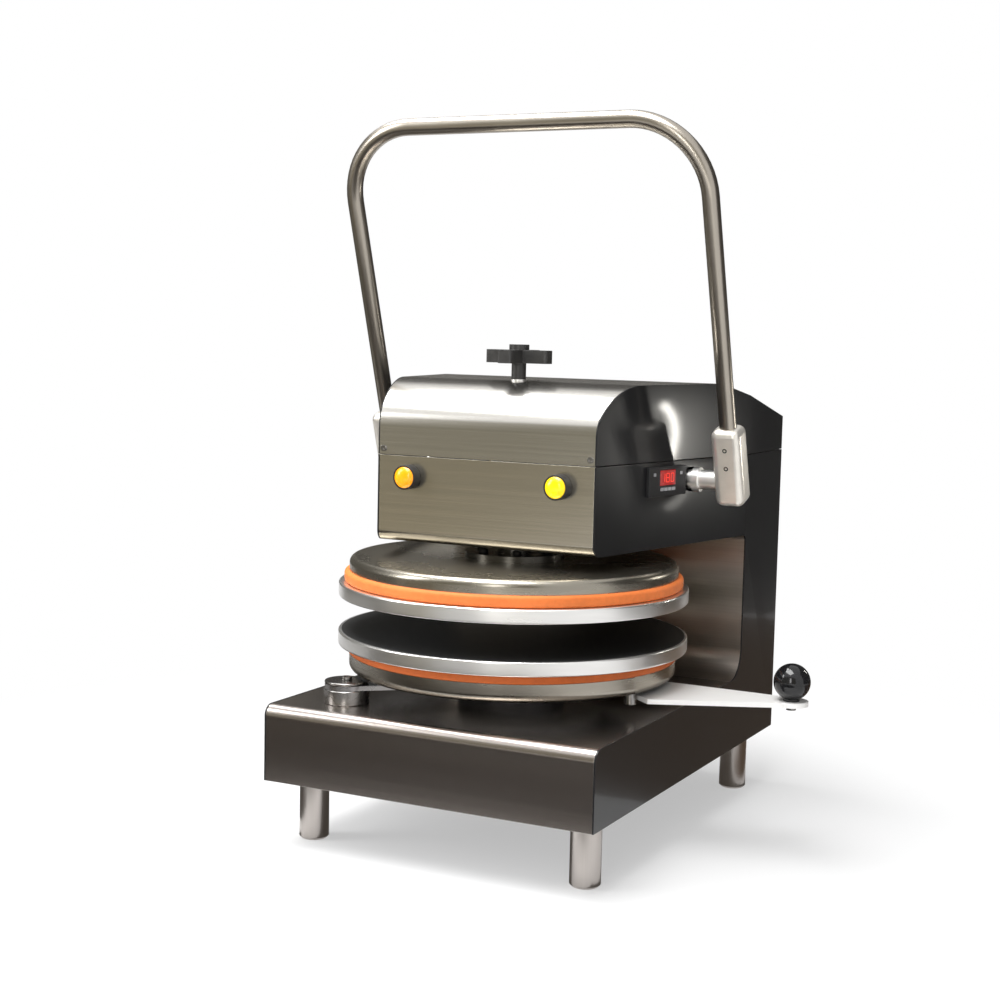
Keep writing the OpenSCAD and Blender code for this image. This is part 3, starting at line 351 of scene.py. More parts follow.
def start_finish(name):
    """New material and its Object coordinates."""
    material = bpy.data.materials.new(name)
    material.use_nodes = True
    material.node_tree.nodes.clear()
    coords = Value(material.node_tree).node("ShaderNodeTexCoord", out="Object")
    return material, coords


def end_finish(coords, sockets):
    """Closes a material with one surface shader."""
    shader = coords.node("ShaderNodeBsdfPrincipled", None, sockets)
    coords.node("ShaderNodeOutputMaterial", None, {"Surface": shader})


def grain_scale(axis, across, along):
    """Noise scales that draw lines along an axis."""
    return tuple(along if axis == name else across for name in "XYZ")


def round_platen_axis(coords):
    """Distance from the platens' axis, and height."""
    shift = {"Vector": coords, "Location": (-platen_axis.x, -platen_axis.y, 0)}
    x, y, z = coords.node("ShaderNodeMapping", None, shift).parts()
    return (x * x + y * y) ** 0.5, z


def brushed_steel(name, tint, rough=0.22):
    """Brushed stainless sheet: fine scratches and faint streaks from side to side."""
    material, coords = start_finish(name)
    fine = coords.noise(grain_scale("X", *SCRATCHES), 2.0)
    streak = coords.noise(grain_scale("X", *STREAKS), 3.0)
    broad = coords.noise(SHEET_PATCH, 2.0)
    tone = fine * 0.25 + streak * 0.4 + broad * 0.35
    end_finish(coords, {
        "Base Color": tone.shades(tint, 0.91, 1.07, 0.35, 0.65),
        "Metallic": 1.0,
        "Roughness": rough + streak * 0.03,
        "Normal": (fine * 0.7 + streak * 0.3).bump(0.04, FINE_MARK),
    })
    return material


def polished_steel(name, tint, rough, axis="Z"):
    """Polished stainless rod or tube with faint draw lines."""
    material, coords = start_finish(name)
    lines = coords.noise(grain_scale(axis, *DRAW_LINES), 2.0)
    smear = coords.noise(POLISH_SMEAR, 2.0)
    end_finish(coords, {
        "Base Color": (lines * 0.3 + smear * 0.7).shades(tint, 0.95, 1.04),
        "Metallic": 1.0,
        "Roughness": rough + smear * 0.06,
        "Normal": lines.bump(0.015, FINE_MARK),
    })
    return material


def dark_panel(name, tint):
    """Glossy charcoal sheet with a slight ripple."""
    material, coords = start_finish(name)
    ripple = coords.noise(PANEL_RIPPLE, 1.0)
    smear = coords.noise(PANEL_SMEAR, 4.0)
    end_finish(coords, {
        "Base Color": smear.shades(tint, 0.9, 1.1),
        "Specular IOR Level": 0.2,
        "Roughness": 0.26 + smear * 0.06,
        "Coat Weight": 0.3,
        "Coat Roughness": 0.08,
        "Normal": ripple.bump(0.2, 2.0 * MM),
    })
    return material


def cast_metal(name, tint):
    """Pale satin casting with a matt tooth."""
    material, coords = start_finish(name)
    tooth = coords.noise(CAST_TOOTH, 2.0)
    smear = coords.noise(CAST_SMEAR, 3.0)
    end_finish(coords, {
        "Base Color": smear.shades(tint, 0.94, 1.03, 0.25, 0.75),
        "Metallic": 0.7,
        "Roughness": 0.26 + smear * 0.1,
        "Normal": tooth.bump(0.08, FINE_MARK),
    })
    return material


def rubber_seal(name, tint):
    """Moulded silicone ring, slightly dusty."""
    material, coords = start_finish(name)
    dust = coords.noise(SILICONE_DUST, 4.0)
    patch = coords.noise(SILICONE_PATCH, 3.0)
    end_finish(coords, {
        "Base Color": (dust * 0.4 + patch * 0.6).shades(tint, 0.85, 1.06),
        "Specular IOR Level": 0.2,
        "Roughness": 0.46 + dust * 0.16,
        "Normal": dust.bump(0.08, 2 * FINE_MARK),
    })
    return material


def moulded_plastic(name, tint, rough=0.45, tooth=0.25):
    """Moulded plastic with a fine spark-eroded texture."""
    material, coords = start_finish(name)
    grain = coords.noise(PLASTIC_GRAIN, 2.0)
    smear = coords.noise(PLASTIC_SMEAR, 3.0)
    end_finish(coords, {
        "Base Color": smear.shades(tint, 0.85, 1.2),
        "Roughness": rough + smear * 0.1,
        "Normal": grain.bump(tooth, FINE_MARK),
    })
    return material


def arm_plate_metal():
    """Swing arm: grey painted as shade from the pivot to under the pan, bright satin at the handle plate."""
    material, coords = start_finish("arm_metal")
    satin = coords.parts()[0].step(ARM_PAINTED_SHADE_END, ARM_SATIN_START)
    smear = coords.noise(STEEL_PATCH, 3.0)
    tooth = coords.noise(CAST_TOOTH, 2.0)
    end_finish(coords, {
        # The grey end is painted shade under the pan
        "Base Color": satin.mix(rgb(ARM_PAINTED_SHADE), rgb(ARM_SATIN)),
        "Metallic": 1 - satin * 0.9,
        "Roughness": 0.24 + satin * 0.12 + smear * 0.06,
        "Normal": tooth.bump(0.05, FINE_MARK),
    })
    return material


def turned_metal(name, tint, rough=0.2, painted_shade_z=0.0):
    """Metal turned on a lathe: fine rings round the platens' axis, with shade painted below a height."""
    material, coords = start_finish(name)
    radius, z = round_platen_axis(coords)
    reach = radius + z
    rings = reach.maths("SINE", reach * (FULL_TURN / RING_PITCH), 0)
    smear = coords.noise(TURNED_SMEAR, 3.0)
    # Painted shade: the tint darkens below this height, as on the pan's bottom face
    unshaded = z.step(painted_shade_z, painted_shade_z + SHEET_T)
    end_finish(coords, {
        "Base Color": unshaded.mix(rgb(tint, PAINTED_SHADE_SHARE), smear.shades(tint, 0.92, 1.05)),
        "Metallic": 1.0,
        "Roughness": rough + smear * 0.1,
        "Normal": rings.bump(0.08, FINE_MARK / 2),
    })
    return material


def platen_plate_metal():
    """Turned aluminium rim with a dark non-stick coat on the pressing faces."""
    material, coords = start_finish("platen_plate")
    radius, z = round_platen_axis(coords)
    rim = half_size("upper_platen").x
    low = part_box("upper_platen")[0].z
    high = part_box("lower_platen")[1].z
    above = z.step(high - COAT_DEEP, high - COAT_SHALLOW)
    below = 1 - z.step(low + COAT_SHALLOW, low + COAT_DEEP)
    coat = (1 - radius.step(rim - COAT_RIM_START, rim - COAT_RIM_END)) * (above * below)
    smear = coords.noise(TURNED_SMEAR, 3.0)
    grain = coords.noise(PLATEN_GRAIN, 2.0)
    share = smear.step(SHADE_LOW, SHADE_HIGH)
    metal = share.mix(rgb(RIM_SHADE), rgb(RIM_BRIGHT))
    dark = share.mix(rgb(COAT_SHADE), rgb(COAT_BRIGHT))
    end_finish(coords, {
        "Base Color": coat.mix(metal, dark),
        "Metallic": 1 - coat,
        "Roughness": 0.24 + smear * 0.1 + coat * 0.12,
        "Normal": grain.bump(0.05, FINE_MARK),
    })
    return material


def lit_lens(name, tint, glow):
    """Coloured lens with a faint glow behind it and a fine prism pattern."""
    material, coords = start_finish(name)
    prism = coords.noise(LENS_PRISM, 1.0)
    patch = coords.noise(PLASTIC_SMEAR, 2.0)
    end_finish(coords, {
        "Base Color": patch.shades(tint, 0.88, 1.0),
        "Roughness": 0.2 + patch * 0.1,
        "Coat Weight": 0.4,
        "Emission Color": rgb(tint),
        "Emission Strength": glow,
        "Normal": prism.bump(0.1, 2 * FINE_MARK),
    })
    return material


def mill_steel(name, tint):
    """Plain frame steel with mill scale."""
    material, coords = start_finish(name)
    scale = coords.noise(STEEL_PATCH, 5.0)
    end_finish(coords, {
        "Base Color": scale.shades(tint, 0.7, 1.2),
        "Metallic": 0.8,
        "Roughness": 0.45 + scale * 0.2,
        "Normal": scale.bump(0.15, 3 * FINE_MARK),
    })
    return material


# Sheets of the cabinet
hood_steel = brushed_steel("hood_steel", (0.62, 0.60, 0.56), 0.21)
# Warmer copy of the cabinet's stainless: partly a painted warm reflection of the room
head_steel_warm_reflection = brushed_steel("head_steel_warm_reflection", (0.58, 0.54, 0.46))
# Darker copy of the cabinet's stainless: painted shade and dark floor reflection on the base
shaded_base_steel = brushed_steel("shaded_base_steel", (0.425, 0.385, 0.355), 0.24)
# Darker copy of the cabinet's stainless: painted shade under the head
shaded_column_steel = brushed_steel("shaded_column_steel", (0.42, 0.38, 0.34), 0.3)
rear_steel = brushed_steel("rear_steel", (0.55, 0.53, 0.50))
charcoal = dark_panel("charcoal_panel", (0.014, 0.014, 0.015))

# Rods, tubes and turned pieces
leg_steel = polished_steel("leg_steel", (0.47, 0.435, 0.41), 0.26)
tube_steel = polished_steel("tube_steel", (0.44, 0.40, 0.345), 0.26)
shaft_steel = polished_steel("shaft_steel", (0.94, 0.93, 0.91), 0.36, "X")
# Near-black tint for the ram: painted shade under the head
ram_shade_steel = polished_steel("ram_shade_steel", (0.10, 0.095, 0.085), 0.24)
hub_steel = polished_steel("hub_steel", (0.30, 0.29, 0.28), 0.22)
boss_steel = polished_steel("boss_steel", (0.37, 0.36, 0.35), 0.24)
spring_steel = polished_steel("spring_steel", (0.55, 0.55, 0.56), 0.25)
cover_metal = turned_metal("cover_metal", (0.34, 0.315, 0.265), 0.22)
# The pan's bottom face gets painted shade, as in the shadow under it
pan_metal = turned_metal("pan_metal", (0.38, 0.35, 0.30), 0.22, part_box("lower_pan")[0].z)
bronze = turned_metal("bronze_bush", (0.55, 0.36, 0.15))
platen_finish = platen_plate_metal()

# Plates, castings and frame steel
block_metal = cast_metal("block_metal", (0.88, 0.84, 0.77))
arm_metal = arm_plate_metal()
black_oxide = mill_steel("black_oxide", (0.022, 0.021, 0.02))
frame_steel = mill_steel("frame_steel", (0.20, 0.20, 0.21))
heater_sheath = mill_steel("heater_sheath", (0.12, 0.11, 0.10))

# Seals, plastics and lenses
upper_orange = rubber_seal("orange_silicone", (0.81, 0.21, 0.052))
# Darker copy of the orange silicone for the lower seal: painted shade under the upper platen
shaded_orange = rubber_seal("shaded_silicone", (0.49, 0.11, 0.024))
black_plastic = moulded_plastic("black_plastic", (0.012, 0.012, 0.013))
knob_plastic = moulded_plastic("knob_plastic", (0.030, 0.029, 0.028), 0.32)
gloss_black = moulded_plastic("gloss_black", (0.010, 0.010, 0.011), 0.06, 0.02)
grey_keys = moulded_plastic("grey_keys", (0.34, 0.34, 0.35), 0.4)
amber_lens = lit_lens("amber_lens", (1.0, 0.36, 0.0), 0.35)
yellow_lens = lit_lens("yellow_lens", (1.0, 0.66, 0.0), 0.35)
red_window = lit_lens("red_window", (0.36, 0.003, 0.003), 0.3)
red_digits = lit_lens("red_digits", (1.0, 0.05, 0.03), 0.3)


def welded(node):
    """Welded copy of a CAD node's mesh."""
    bm = bmesh.new()
    bm.from_mesh(frame["nodes"][node].data)
    bmesh.ops.remove_doubles(bm, verts=bm.verts, dist=WELD)
    return bm


def islands(node):
    """Box centre and half size of each separate solid in a node."""
    bm = welded(node)
    seen = set()
    found = []
    for start in bm.verts:
        if start in seen:
            continue
        seen.add(start)
        group = [start]
        for vert in group:
            fresh = {e.other_vert(vert) for e in vert.link_edges} - seen
            seen |= fresh
            group.extend(fresh)
        low, high = limits([vert.co for vert in group])
        found.append(((low + high) / 2, (high - low) / 2))
    bm.free()
    return found


def bevel_edges(bm, edges, width, segments):
    """Rounds some edges."""
    bmesh.ops.bevel(
        bm, geom=edges, affect="EDGES", offset=width, offset_type="OFFSET", segments=segments,
        profile=0.5, material=-1, clamp_overlap=True,
    )


def round_edges(bm, width, segments=FINE_ROUND):
    """Rounds every edge that is sharper than the crease angle."""
    whole = [e for e in bm.edges if len(e.link_faces) == 2]
    bevel_edges(bm, [e for e in whole if e.calc_face_angle() > CREASE], width, segments)


def place(bm, centre, out=UP):
    """Turns local Z towards out and moves the origin to the centre."""
    turn = UP.rotation_difference(Vector(out)).to_matrix().to_4x4()
    bmesh.ops.transform(bm, matrix=Matrix.Translation(centre) @ turn, verts=bm.verts)


def profile_bmesh(points, closed):
    """Edges through points of radius and height."""
    bm = bmesh.new()
    verts = [bm.verts.new((r, 0, z)) for r, z in points]
    pairs = list(zip(verts, verts[1:]))
    if closed:
        pairs.append((verts[-1], verts[0]))
    for pair in pairs:
        bm.edges.new(pair)
    return bm


def spin_round(bm, steps):
    """Turns an outline in X and Z about the Z axis into a closed skin."""
    bmesh.ops.spin(
        bm, geom=bm.verts[:] + bm.edges[:], cent=(0, 0, 0), axis=UP, angle=FULL_TURN,
        steps=steps, use_merge=True,
    )
    bmesh.ops.remove_doubles(bm, verts=bm.verts, dist=WELD)
    bmesh.ops.recalc_face_normals(bm, faces=bm.faces)


def spun(points, edge=0.0, segments=PLAIN_ROUND, closed=False, steps=SPIN_STEPS):
    """Turned solid about Z through points of radius and height, with rounded edges."""
    bm = profile_bmesh(points, closed)
    spin_round(bm, steps)
    if edge:
        round_edges(bm, edge, segments)
    return bm


def socket_screw(r, height, socket_r, depth):
    """Screw head about Z with a socket in its top."""
    floor_z = height - depth
    socket = [(0, floor_z), (socket_r, floor_z), (socket_r, height)]
    head = [(r, height), (r, 0), (0, 0)]
    return spun(socket + head, r * SCREW_ROUND, FINE_ROUND, steps=SCREW_STEPS)


def flat_bar(bm, matrix, centre, size):
    """Adds a box, its size and place given in a frame."""
    shape = Matrix.Translation(centre) @ Matrix.Diagonal((*size, 1))
    bmesh.ops.create_cube(bm, size=1, matrix=matrix @ shape)


def make_piece(name, bm, material, body, nodes=(), slot=None):
    """Makes a bmesh a piece that rides on a body and stands for CAD nodes."""
    mesh = bpy.data.meshes.new(name)
    bm.to_mesh(mesh)
    bm.free()
    mesh.materials.append(material)
    mesh.shade_smooth()
    mesh.set_sharp_from_angle(angle=SMOOTH)
    piece = bpy.data.objects.new(name, mesh)
    scene.collection.objects.link(piece)
    even = piece.modifiers.new("even_faces", "WEIGHTED_NORMAL")
    even.keep_sharp = True
    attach(piece, body)
    if nodes:
        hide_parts(*nodes)
    return piece


def softened(name, node, material, width, segments=FINE_ROUND):
    """Piece with a CAD node's shape and rounded edges, on the node's own body."""
    bm = welded(node)
    bmesh.ops.dissolve_limit(bm, angle_limit=FLAT, verts=bm.verts, edges=bm.edges)
    round_edges(bm, width, segments)
    make_piece(name, bm, material, body_of(node), [node], slot_of(node))


def dress(material, *nodes):
    """Gives CAD nodes whose shape is right a better finish."""
    for node in nodes:
        mesh = frame["nodes"][node].data
        mesh.materials.clear()
        mesh.materials.append(material)


def cabinet_sheets():
    """Folded covers and dark side panels with eased sheet edges."""
    sheets = {
        "hood": hood_steel, "head_front": head_steel_warm_reflection, "base_cover": shaded_base_steel,
        "column_cover": shaded_column_steel, "rear_cover": rear_steel,
        "side_panel_left": charcoal, "side_panel_right": charcoal,
        "hood_cheek_left": charcoal, "hood_cheek_right": charcoal,
    }
    for node, material in sheets.items():
        softened(node + "_sheet", node, material, SHEET_EDGE)


def leg_pieces():
    """Four polished legs with a rounded foot."""
    for number, (centre, half) in enumerate(islands("legs")):
        r = half.x
        h = 2 * half.z
        outline = [(0, 0), (r - LEG_FOOT, 0), (r, LEG_FOOT), (r, h), (0, h)]
        bm = spun(outline, SMALL_EDGE, steps=SMALL_STEPS)
        place(bm, (centre.x, centre.y, 0))
        leg = make_piece(f"leg_{number + 1}", bm, leg_steel, "cabinet", slot="bright_steel")
        if number == 0:
            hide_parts("legs")


def handle_matrix():
    """Handle frame, with the shaft at its origin and the arms along Z, then reach and arm X."""
    joint = next(j for j in frame["joints"] if j["name"] == "handle_swing")
    shaft = Vector(joint["pos_m"])
    low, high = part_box("handle_tube")
    bar = Vector((0, low.y + TUBE_R, high.z - TUBE_R))
    reach = bar - shaft
    lean = Matrix.Rotation(math.atan2(-reach.y, reach.z), 4, "X")
    return Matrix.Translation(shaft) @ lean, reach.length, high.x - TUBE_R


def extrude_loop(bm, loop, move):
    """Draws a loop of edges on along a vector and returns its far end."""
    drawn = bmesh.ops.extrude_edge_only(bm, edges=loop)["geom"]
    verts = [g for g in drawn if isinstance(g, bmesh.types.BMVert)]
    bmesh.ops.translate(bm, verts=verts, vec=move)
    edges = [g for g in drawn if isinstance(g, bmesh.types.BMEdge)]
    return [e for e in edges if set(e.verts) <= set(verts)]


def bend_loop(bm, loop, centre):
    """Bends a loop of edges on by a quarter turn about local Y."""
    verts = list(dict.fromkeys(v for e in loop for v in e.verts))
    bent = bmesh.ops.spin(
        bm, geom=verts + loop, cent=centre, axis=(0, 1, 0), angle=QUARTER_TURN, steps=BEND_STEPS,
    )["geom_last"]
    return [g for g in bent if isinstance(g, bmesh.types.BMEdge)]


def handle_bail():
    """Bent handle tube: left arm, bend, grip bar, bend, right arm."""
    matrix, length, arm_x = handle_matrix()
    bend_z = length - HANDLE_BEND_R
    bend_x = arm_x - HANDLE_BEND_R
    bm = bmesh.new()
    bmesh.ops.create_circle(bm, segments=TUBE_SIDES, radius=TUBE_R, cap_ends=False)
    bmesh.ops.translate(bm, verts=bm.verts, vec=(-arm_x, 0, TUBE_START))
    loop = extrude_loop(bm, bm.edges[:], (0, 0, bend_z - TUBE_START))
    loop = bend_loop(bm, loop, (-bend_x, 0, bend_z))
    loop = extrude_loop(bm, loop, (2 * bend_x, 0, 0))
    loop = bend_loop(bm, loop, (bend_x, 0, bend_z))
    extrude_loop(bm, loop, (0, 0, TUBE_START - bend_z))
    bmesh.ops.remove_doubles(bm, verts=bm.verts, dist=WELD)
    bmesh.ops.holes_fill(bm, edges=bm.edges)
    bmesh.ops.recalc_face_normals(bm, faces=bm.faces)
    bmesh.ops.transform(bm, matrix=matrix, verts=bm.verts)
    make_piece("handle_bail", bm, tube_steel, "handle", ["handle_tube"], "bright_steel")


def clamp_block(side):
    """Cast block, square to the tube and well rounded on every edge."""
    node = f"handle_block_{side}"
    matrix = handle_matrix()[0]
    back = matrix.inverted()
    low, high = limits([back @ vert.co for vert in frame["nodes"][node].data.vertices])
    bm = bmesh.new()
    flat_bar(bm, matrix, (low + high) / 2, high - low)
    bevel_edges(bm, bm.edges[:], BLOCK_CORNER, FULL_ROUND)
    make_piece(f"{side}_handle_block", bm, block_metal, body_of(node), [node], slot_of(node))


def set_screws():
    """Socket screws in the front of the handle blocks, two in each."""
    out = handle_matrix()[0].to_3x3() @ FORWARD
    length = SET_SCREW_LEN + SET_SCREW_TIP
    for number, (centre, half) in enumerate(islands("block_set_screws")):
        bm = socket_screw(half.x, length, half.x * SET_SOCKET_W, length * SET_SOCKET_DEEP)
        place(bm, centre - out * SET_SCREW_LEN / 2, out)
        name = f"set_screw_{number + 1}"
        screw = make_piece(name, bm, black_oxide, "handle", slot="frame_steel")
        if number == 0:
            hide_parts("block_set_screws")


def seal_ring(side, orange):
    """Orange heat seal with a soft section."""
    node = f"{side}_seal"
    low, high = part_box(node)
    r = (high.x - low.x) / 2
    ring = [(r - SEAL_W, low.z), (r, low.z), (r, high.z), (r - SEAL_W, high.z)]
    bm = spun(ring, (high.z - low.z) * SEAL_ROUND, SOFT_ROUND, closed=True)
    place(bm, platen_axis)
    make_piece(f"{side}_seal_ring", bm, orange, body_of(node), [node], "orange_silicone")


def press_plate(side, low_z, high_z):
    """Turned pressing plate that meets its seal."""
    node = f"{side}_platen"
    r = half_size("upper_platen").x
    outline = [(0, low_z), (r, low_z), (r, high_z), (0, high_z)]
    bm = spun(outline, PLATE_EDGE, SOFT_ROUND)
    place(bm, platen_axis)
    make_piece(f"{side}_plate", bm, platen_finish, body_of(node), [node], "platen_aluminium")


def ring_edges(bm, r, z):
    """Edges of the ring at a radius and a height."""
    def on_ring(vert):
        return abs(vert.co.xy.length - r) < RING_SLACK and abs(vert.co.z - z) < RING_SLACK

    return [e for e in bm.edges if all(on_ring(v) for v in e.verts)]


def spun_casing(name, node, material, flat_z, open_z, bend):
    """Spun sheet casing, closed at one height, open at the other and round at its bend."""
    r = half_size(node).x
    wall_r = r - SHEET_T
    inner_z = flat_z + math.copysign(SHEET_T, open_z - flat_z)
    outside = [(0, flat_z), (r, flat_z), (r, open_z)]
    inside = [(wall_r, open_z), (wall_r, inner_z), (0, inner_z)]
    bm = spun(outside + inside)
    bevel_edges(bm, ring_edges(bm, r, flat_z), bend, FULL_ROUND)
    bevel_edges(bm, ring_edges(bm, wall_r, inner_z), bend - INNER_BEND_LESS, SOFT_ROUND)
    place(bm, platen_axis)
    make_piece(name, bm, material, body_of(node), [node], "platen_casing")


def platen_pieces():
    """Pressing plates with their seals, the cover on the upper one and the pan of the lower."""
    seal_ring("upper", upper_orange)
    press_plate("upper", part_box("upper_platen")[0].z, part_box("upper_seal")[0].z)
    seal_ring("lower", shaded_orange)
    press_plate("lower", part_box("lower_seal")[1].z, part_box("lower_platen")[1].z)
    low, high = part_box("upper_cover")
    spun_casing("upper_casing", "upper_cover", cover_metal, high.z, low.z, COVER_BEND_R)
    low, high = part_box("lower_pan")
    spun_casing("lower_casing", "lower_pan", pan_metal, low.z, high.z, PAN_BEND_R)


def swing_arm_pieces():
    """Swing arm with its bolts, and the pivot with its lid and a cap screw."""
    softened("swing_bar", "swing_arm", arm_metal, ARM_EDGE, PLAIN_ROUND)
    softened("pivot_boss", "pivot_post", boss_steel, ARM_EDGE, PLAIN_ROUND)
    softened("pivot_lid", "pivot_cap", hub_steel, ARM_EDGE, PLAIN_ROUND)
    softened("arm_bolt_heads", "arm_bolts", hub_steel, ARM_EDGE, PLAIN_ROUND)
    dress(hub_steel, "ball_stud")
    top = middle("pivot_cap")
    top.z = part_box("pivot_cap")[1].z
    bm = socket_screw(*PIVOT_SCREW)
    place(bm, top)
    make_piece("pivot_screw", bm, hub_steel, "cabinet", slot="bright_steel")


def ram_pieces():
    """Ram nearly black with painted shade, as under the head, with bolts round its flange."""
    dress(ram_shade_steel, "ram")
    flange_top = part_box("upper_cover")[1].z + FLANGE_T
    for number in range(FLANGE_BOLTS):
        turn = Matrix.Rotation(FULL_TURN * number / FLANGE_BOLTS, 3, "Z")
        spot = platen_centre + turn @ Vector((FLANGE_BOLT_RING, 0, 0))
        bm = socket_screw(*FLANGE_BOLT)
        place(bm, (spot.x, spot.y, flange_top))
        name = f"flange_bolt_{number + 1}"
        make_piece(name, bm, black_oxide, "ram_carriage", slot="frame_steel")


def ball_handle():
    """Black ball on a short neck."""
    low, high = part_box("ball_knob")
    centre = middle("ball_knob")
    ball_z = high.z - BALL_R
    meet = math.acos(BALL_NECK_R / BALL_R)
    neck_top = ball_z - BALL_R * math.sin(meet)
    bm = profile_bmesh([(0, low.z), (BALL_NECK_R, low.z), (BALL_NECK_R, neck_top)], False)
    bm.verts.ensure_lookup_table()
    bmesh.ops.spin(
        bm, geom=[bm.verts[-1]], cent=(0, 0, ball_z), axis=FORWARD, angle=meet + QUARTER_TURN,
        steps=SMALL_STEPS // 2,
    )
    spin_round(bm, SMALL_STEPS)
    place(bm, (centre.x, centre.y, 0))
    make_piece("ball_handle", bm, gloss_black, "swing_platen", ["ball_knob"], "gloss_black")


def lens_piece(side, material):
    """Domed push-button lens with its plunger."""
    node = f"button_{side}"
    low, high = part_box(node)
    front_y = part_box("head_front")[0].y
    proud = front_y - low.y
    back = front_y - high.y
    r = (high.x - low.x) / 2
    dome = [(r * across, proud * up) for across, up in LENS_DOME]
    plunger = [(r, LENS_BACK), (PLUNGER_R, LENS_BACK), (PLUNGER_R, back), (0, back)]
    bm = spun(dome + plunger, steps=SMALL_STEPS)
    centre = middle(node)
    place(bm, (centre.x, front_y, centre.z), FORWARD)
    make_piece(f"{side}_lens", bm, material, f"push_{side}", [node], "amber_lens")


def cover_screw_pieces():
    """Small screws with a socket, at the front corners of the hood and on the rear cover."""
    for number, (centre, half) in enumerate(islands("cover_screws")):
        out = Vector((0, -1 if centre.y < 0 else 1, 0))
        bm = socket_screw(half.x, 2 * half.y, half.x * COVER_SOCKET_W, half.y)
        place(bm, centre - out * half.y, out)
        name = f"cover_screw_{number + 1}"
        screw = make_piece(name, bm, hub_steel, "cabinet", slot="bright_steel")
        if number == 0:
            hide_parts("cover_screws")


def window_frame():
    """Frame on the controller's window: X along it to the rear, Y up, Z out of the panel."""
    mesh = frame["nodes"]["controller_window"].data
    face = max(mesh.polygons, key=lambda polygon: polygon.normal.x)
    out = face.normal.copy()
    along = UP.cross(out).normalized()
    turn = Matrix((along, UP, out)).transposed().to_4x4()
    half = half_size("controller_window")
    reach = max(out.dot(mesh.vertices[v].co) for v in face.vertices)
    centre = middle("controller_window")
    centre += out * (reach - out.dot(centre))
    return Matrix.Translation(centre) @ turn, half.y / along.y, half.z


def display_digits(matrix, half_w, half_h):
    """Three lit digits on the window."""
    bm = bmesh.new()
    w = half_w * DIGIT_W
    h = half_h * DIGIT_H
    bar = half_h * DIGIT_BAR
    across = (w, bar, DIGIT_T)
    upright = (bar, h, DIGIT_T)
    bars = [
        ((0, h, 0), across), ((w / 2, h / 2, 0), upright), ((w / 2, -h / 2, 0), upright),
        ((0, -h, 0), across), ((-w / 2, -h / 2, 0), upright), ((-w / 2, h / 2, 0), upright),
        ((0, 0, 0), across),
    ]
    for number, digit in enumerate(DIGIT_TEXT):
        shift = Vector(((number - 1) * half_w * DIGIT_PITCH, 0, 0))
        for lit, (spot, size) in zip(DIGIT_BARS[digit], bars):
            if lit == "1":
                flat_bar(bm, matrix, Vector(spot) + shift, size)
    make_piece("display_digits", bm, red_digits, "cabinet", slot="red_display")


def controller_keys(matrix, half_w, half_h):
    """Row of four grey keys under the window, and a stud at each side."""
    bm = bmesh.new()
    key_w = half_w * KEY_SIZE
    key_h = half_h * KEY_SIZE
    for number in range(KEYS):
        key_x = (number - (KEYS - 1) / 2) * half_w * KEY_PITCH
        flat_bar(bm, matrix, (key_x, -half_h * KEY_DROP, 0), (key_w, key_h, KEY_T))
    for side in (-1, 1):
        spot = (side * half_w * STUD_REACH, half_h * STUD_RISE, 0)
        flat_bar(bm, matrix, spot, (key_w * STUD_W, key_h, KEY_T))
    round_edges(bm, KEY_EDGE)
    make_piece("controller_keys", bm, grey_keys, "cabinet", slot="black_plastic")


def control_pieces():
    """Knob, push-buttons, controller, gland and cover screws."""
    softened("cross_knob", "adjust_knob", knob_plastic, KNOB_EDGE, PLAIN_ROUND)
    softened("controller_bezel", "controller_face", black_plastic, SMALL_EDGE)
    dress(red_window, "controller_window")
    dress(black_plastic, "switch_bodies", "controller_body")
    window = window_frame()
    display_digits(*window)
    controller_keys(*window)
    softened("gland", "cable_gland", black_plastic, SMALL_EDGE)
    softened("lens_housings", "button_housings", black_plastic, SMALL_EDGE)
    lens_piece("left", amber_lens)
    lens_piece("right", yellow_lens)
    cover_screw_pieces()


def inner_pieces():
    """Finishes of the frame and the drive inside the cabinet."""
    dress(
        frame_steel, "leg_bars", "bottom_plate", "frame_plate_left", "frame_plate_right",
        "anvil_plate", "spine_plate", "guide_block", "top_bridge", "anvil_block", "drive_pinion",
        "ram_yoke", "drive_rack",
    )
    dress(bronze, "guide_bush", "shaft_bushes", "stop_nut")
    dress(heater_sheath, "upper_heater", "lower_heater")
    dress(spring_steel, "return_springs", "guide_rods")
    dress(shaft_steel, "cross_shaft", "shaft_collars", "adjust_spindle", "spindle_bush")


def make_camera():
    """Camera at the photograph's place and angle."""
    data = bpy.data.cameras.new("camera")
    data.lens = CAMERA_LENS
    data.sensor_width = SENSOR_W
    camera = bpy.data.objects.new("camera", data)
    camera.location = CAMERA_PLACE
    camera.rotation_mode = "QUATERNION"
    aim = (CAMERA_TARGET - CAMERA_PLACE).to_track_quat("-Z", "Y")
    camera.rotation_quaternion = aim @ Quaternion(UP, CAMERA_ROLL)
    scene.collection.objects.link(camera)
    scene.camera = camera


def soft_box(name, centre, aim, width, height, watts):
    """Area light that isn't seen by the camera itself."""
    data = bpy.data.lights.new(name, "AREA")
    data.shape = "RECTANGLE"
    data.size = width
    data.size_y = height
    data.energy = watts
    lamp = bpy.data.objects.new(name, data)
    lamp.location = centre
    lamp.rotation_mode = "QUATERNION"
    lamp.rotation_quaternion = (Vector(aim) - Vector(centre)).to_track_quat("-Z", "Y")
    lamp.visible_camera = False
    scene.collection.objects.link(lamp)


def seen_share(root):
    """1 for rays that show the background: to the camera, in reflections and through glass."""
    outs = root.node("ShaderNodeLightPath").socket.node.outputs
    kinds = ("Camera", "Glossy", "Transmission")
    camera, glossy, through = (Value(root.tree, outs[f"Is {kind} Ray"]) for kind in kinds)
    return camera.maths("MAXIMUM", camera, glossy.maths("MAXIMUM", glossy, through))


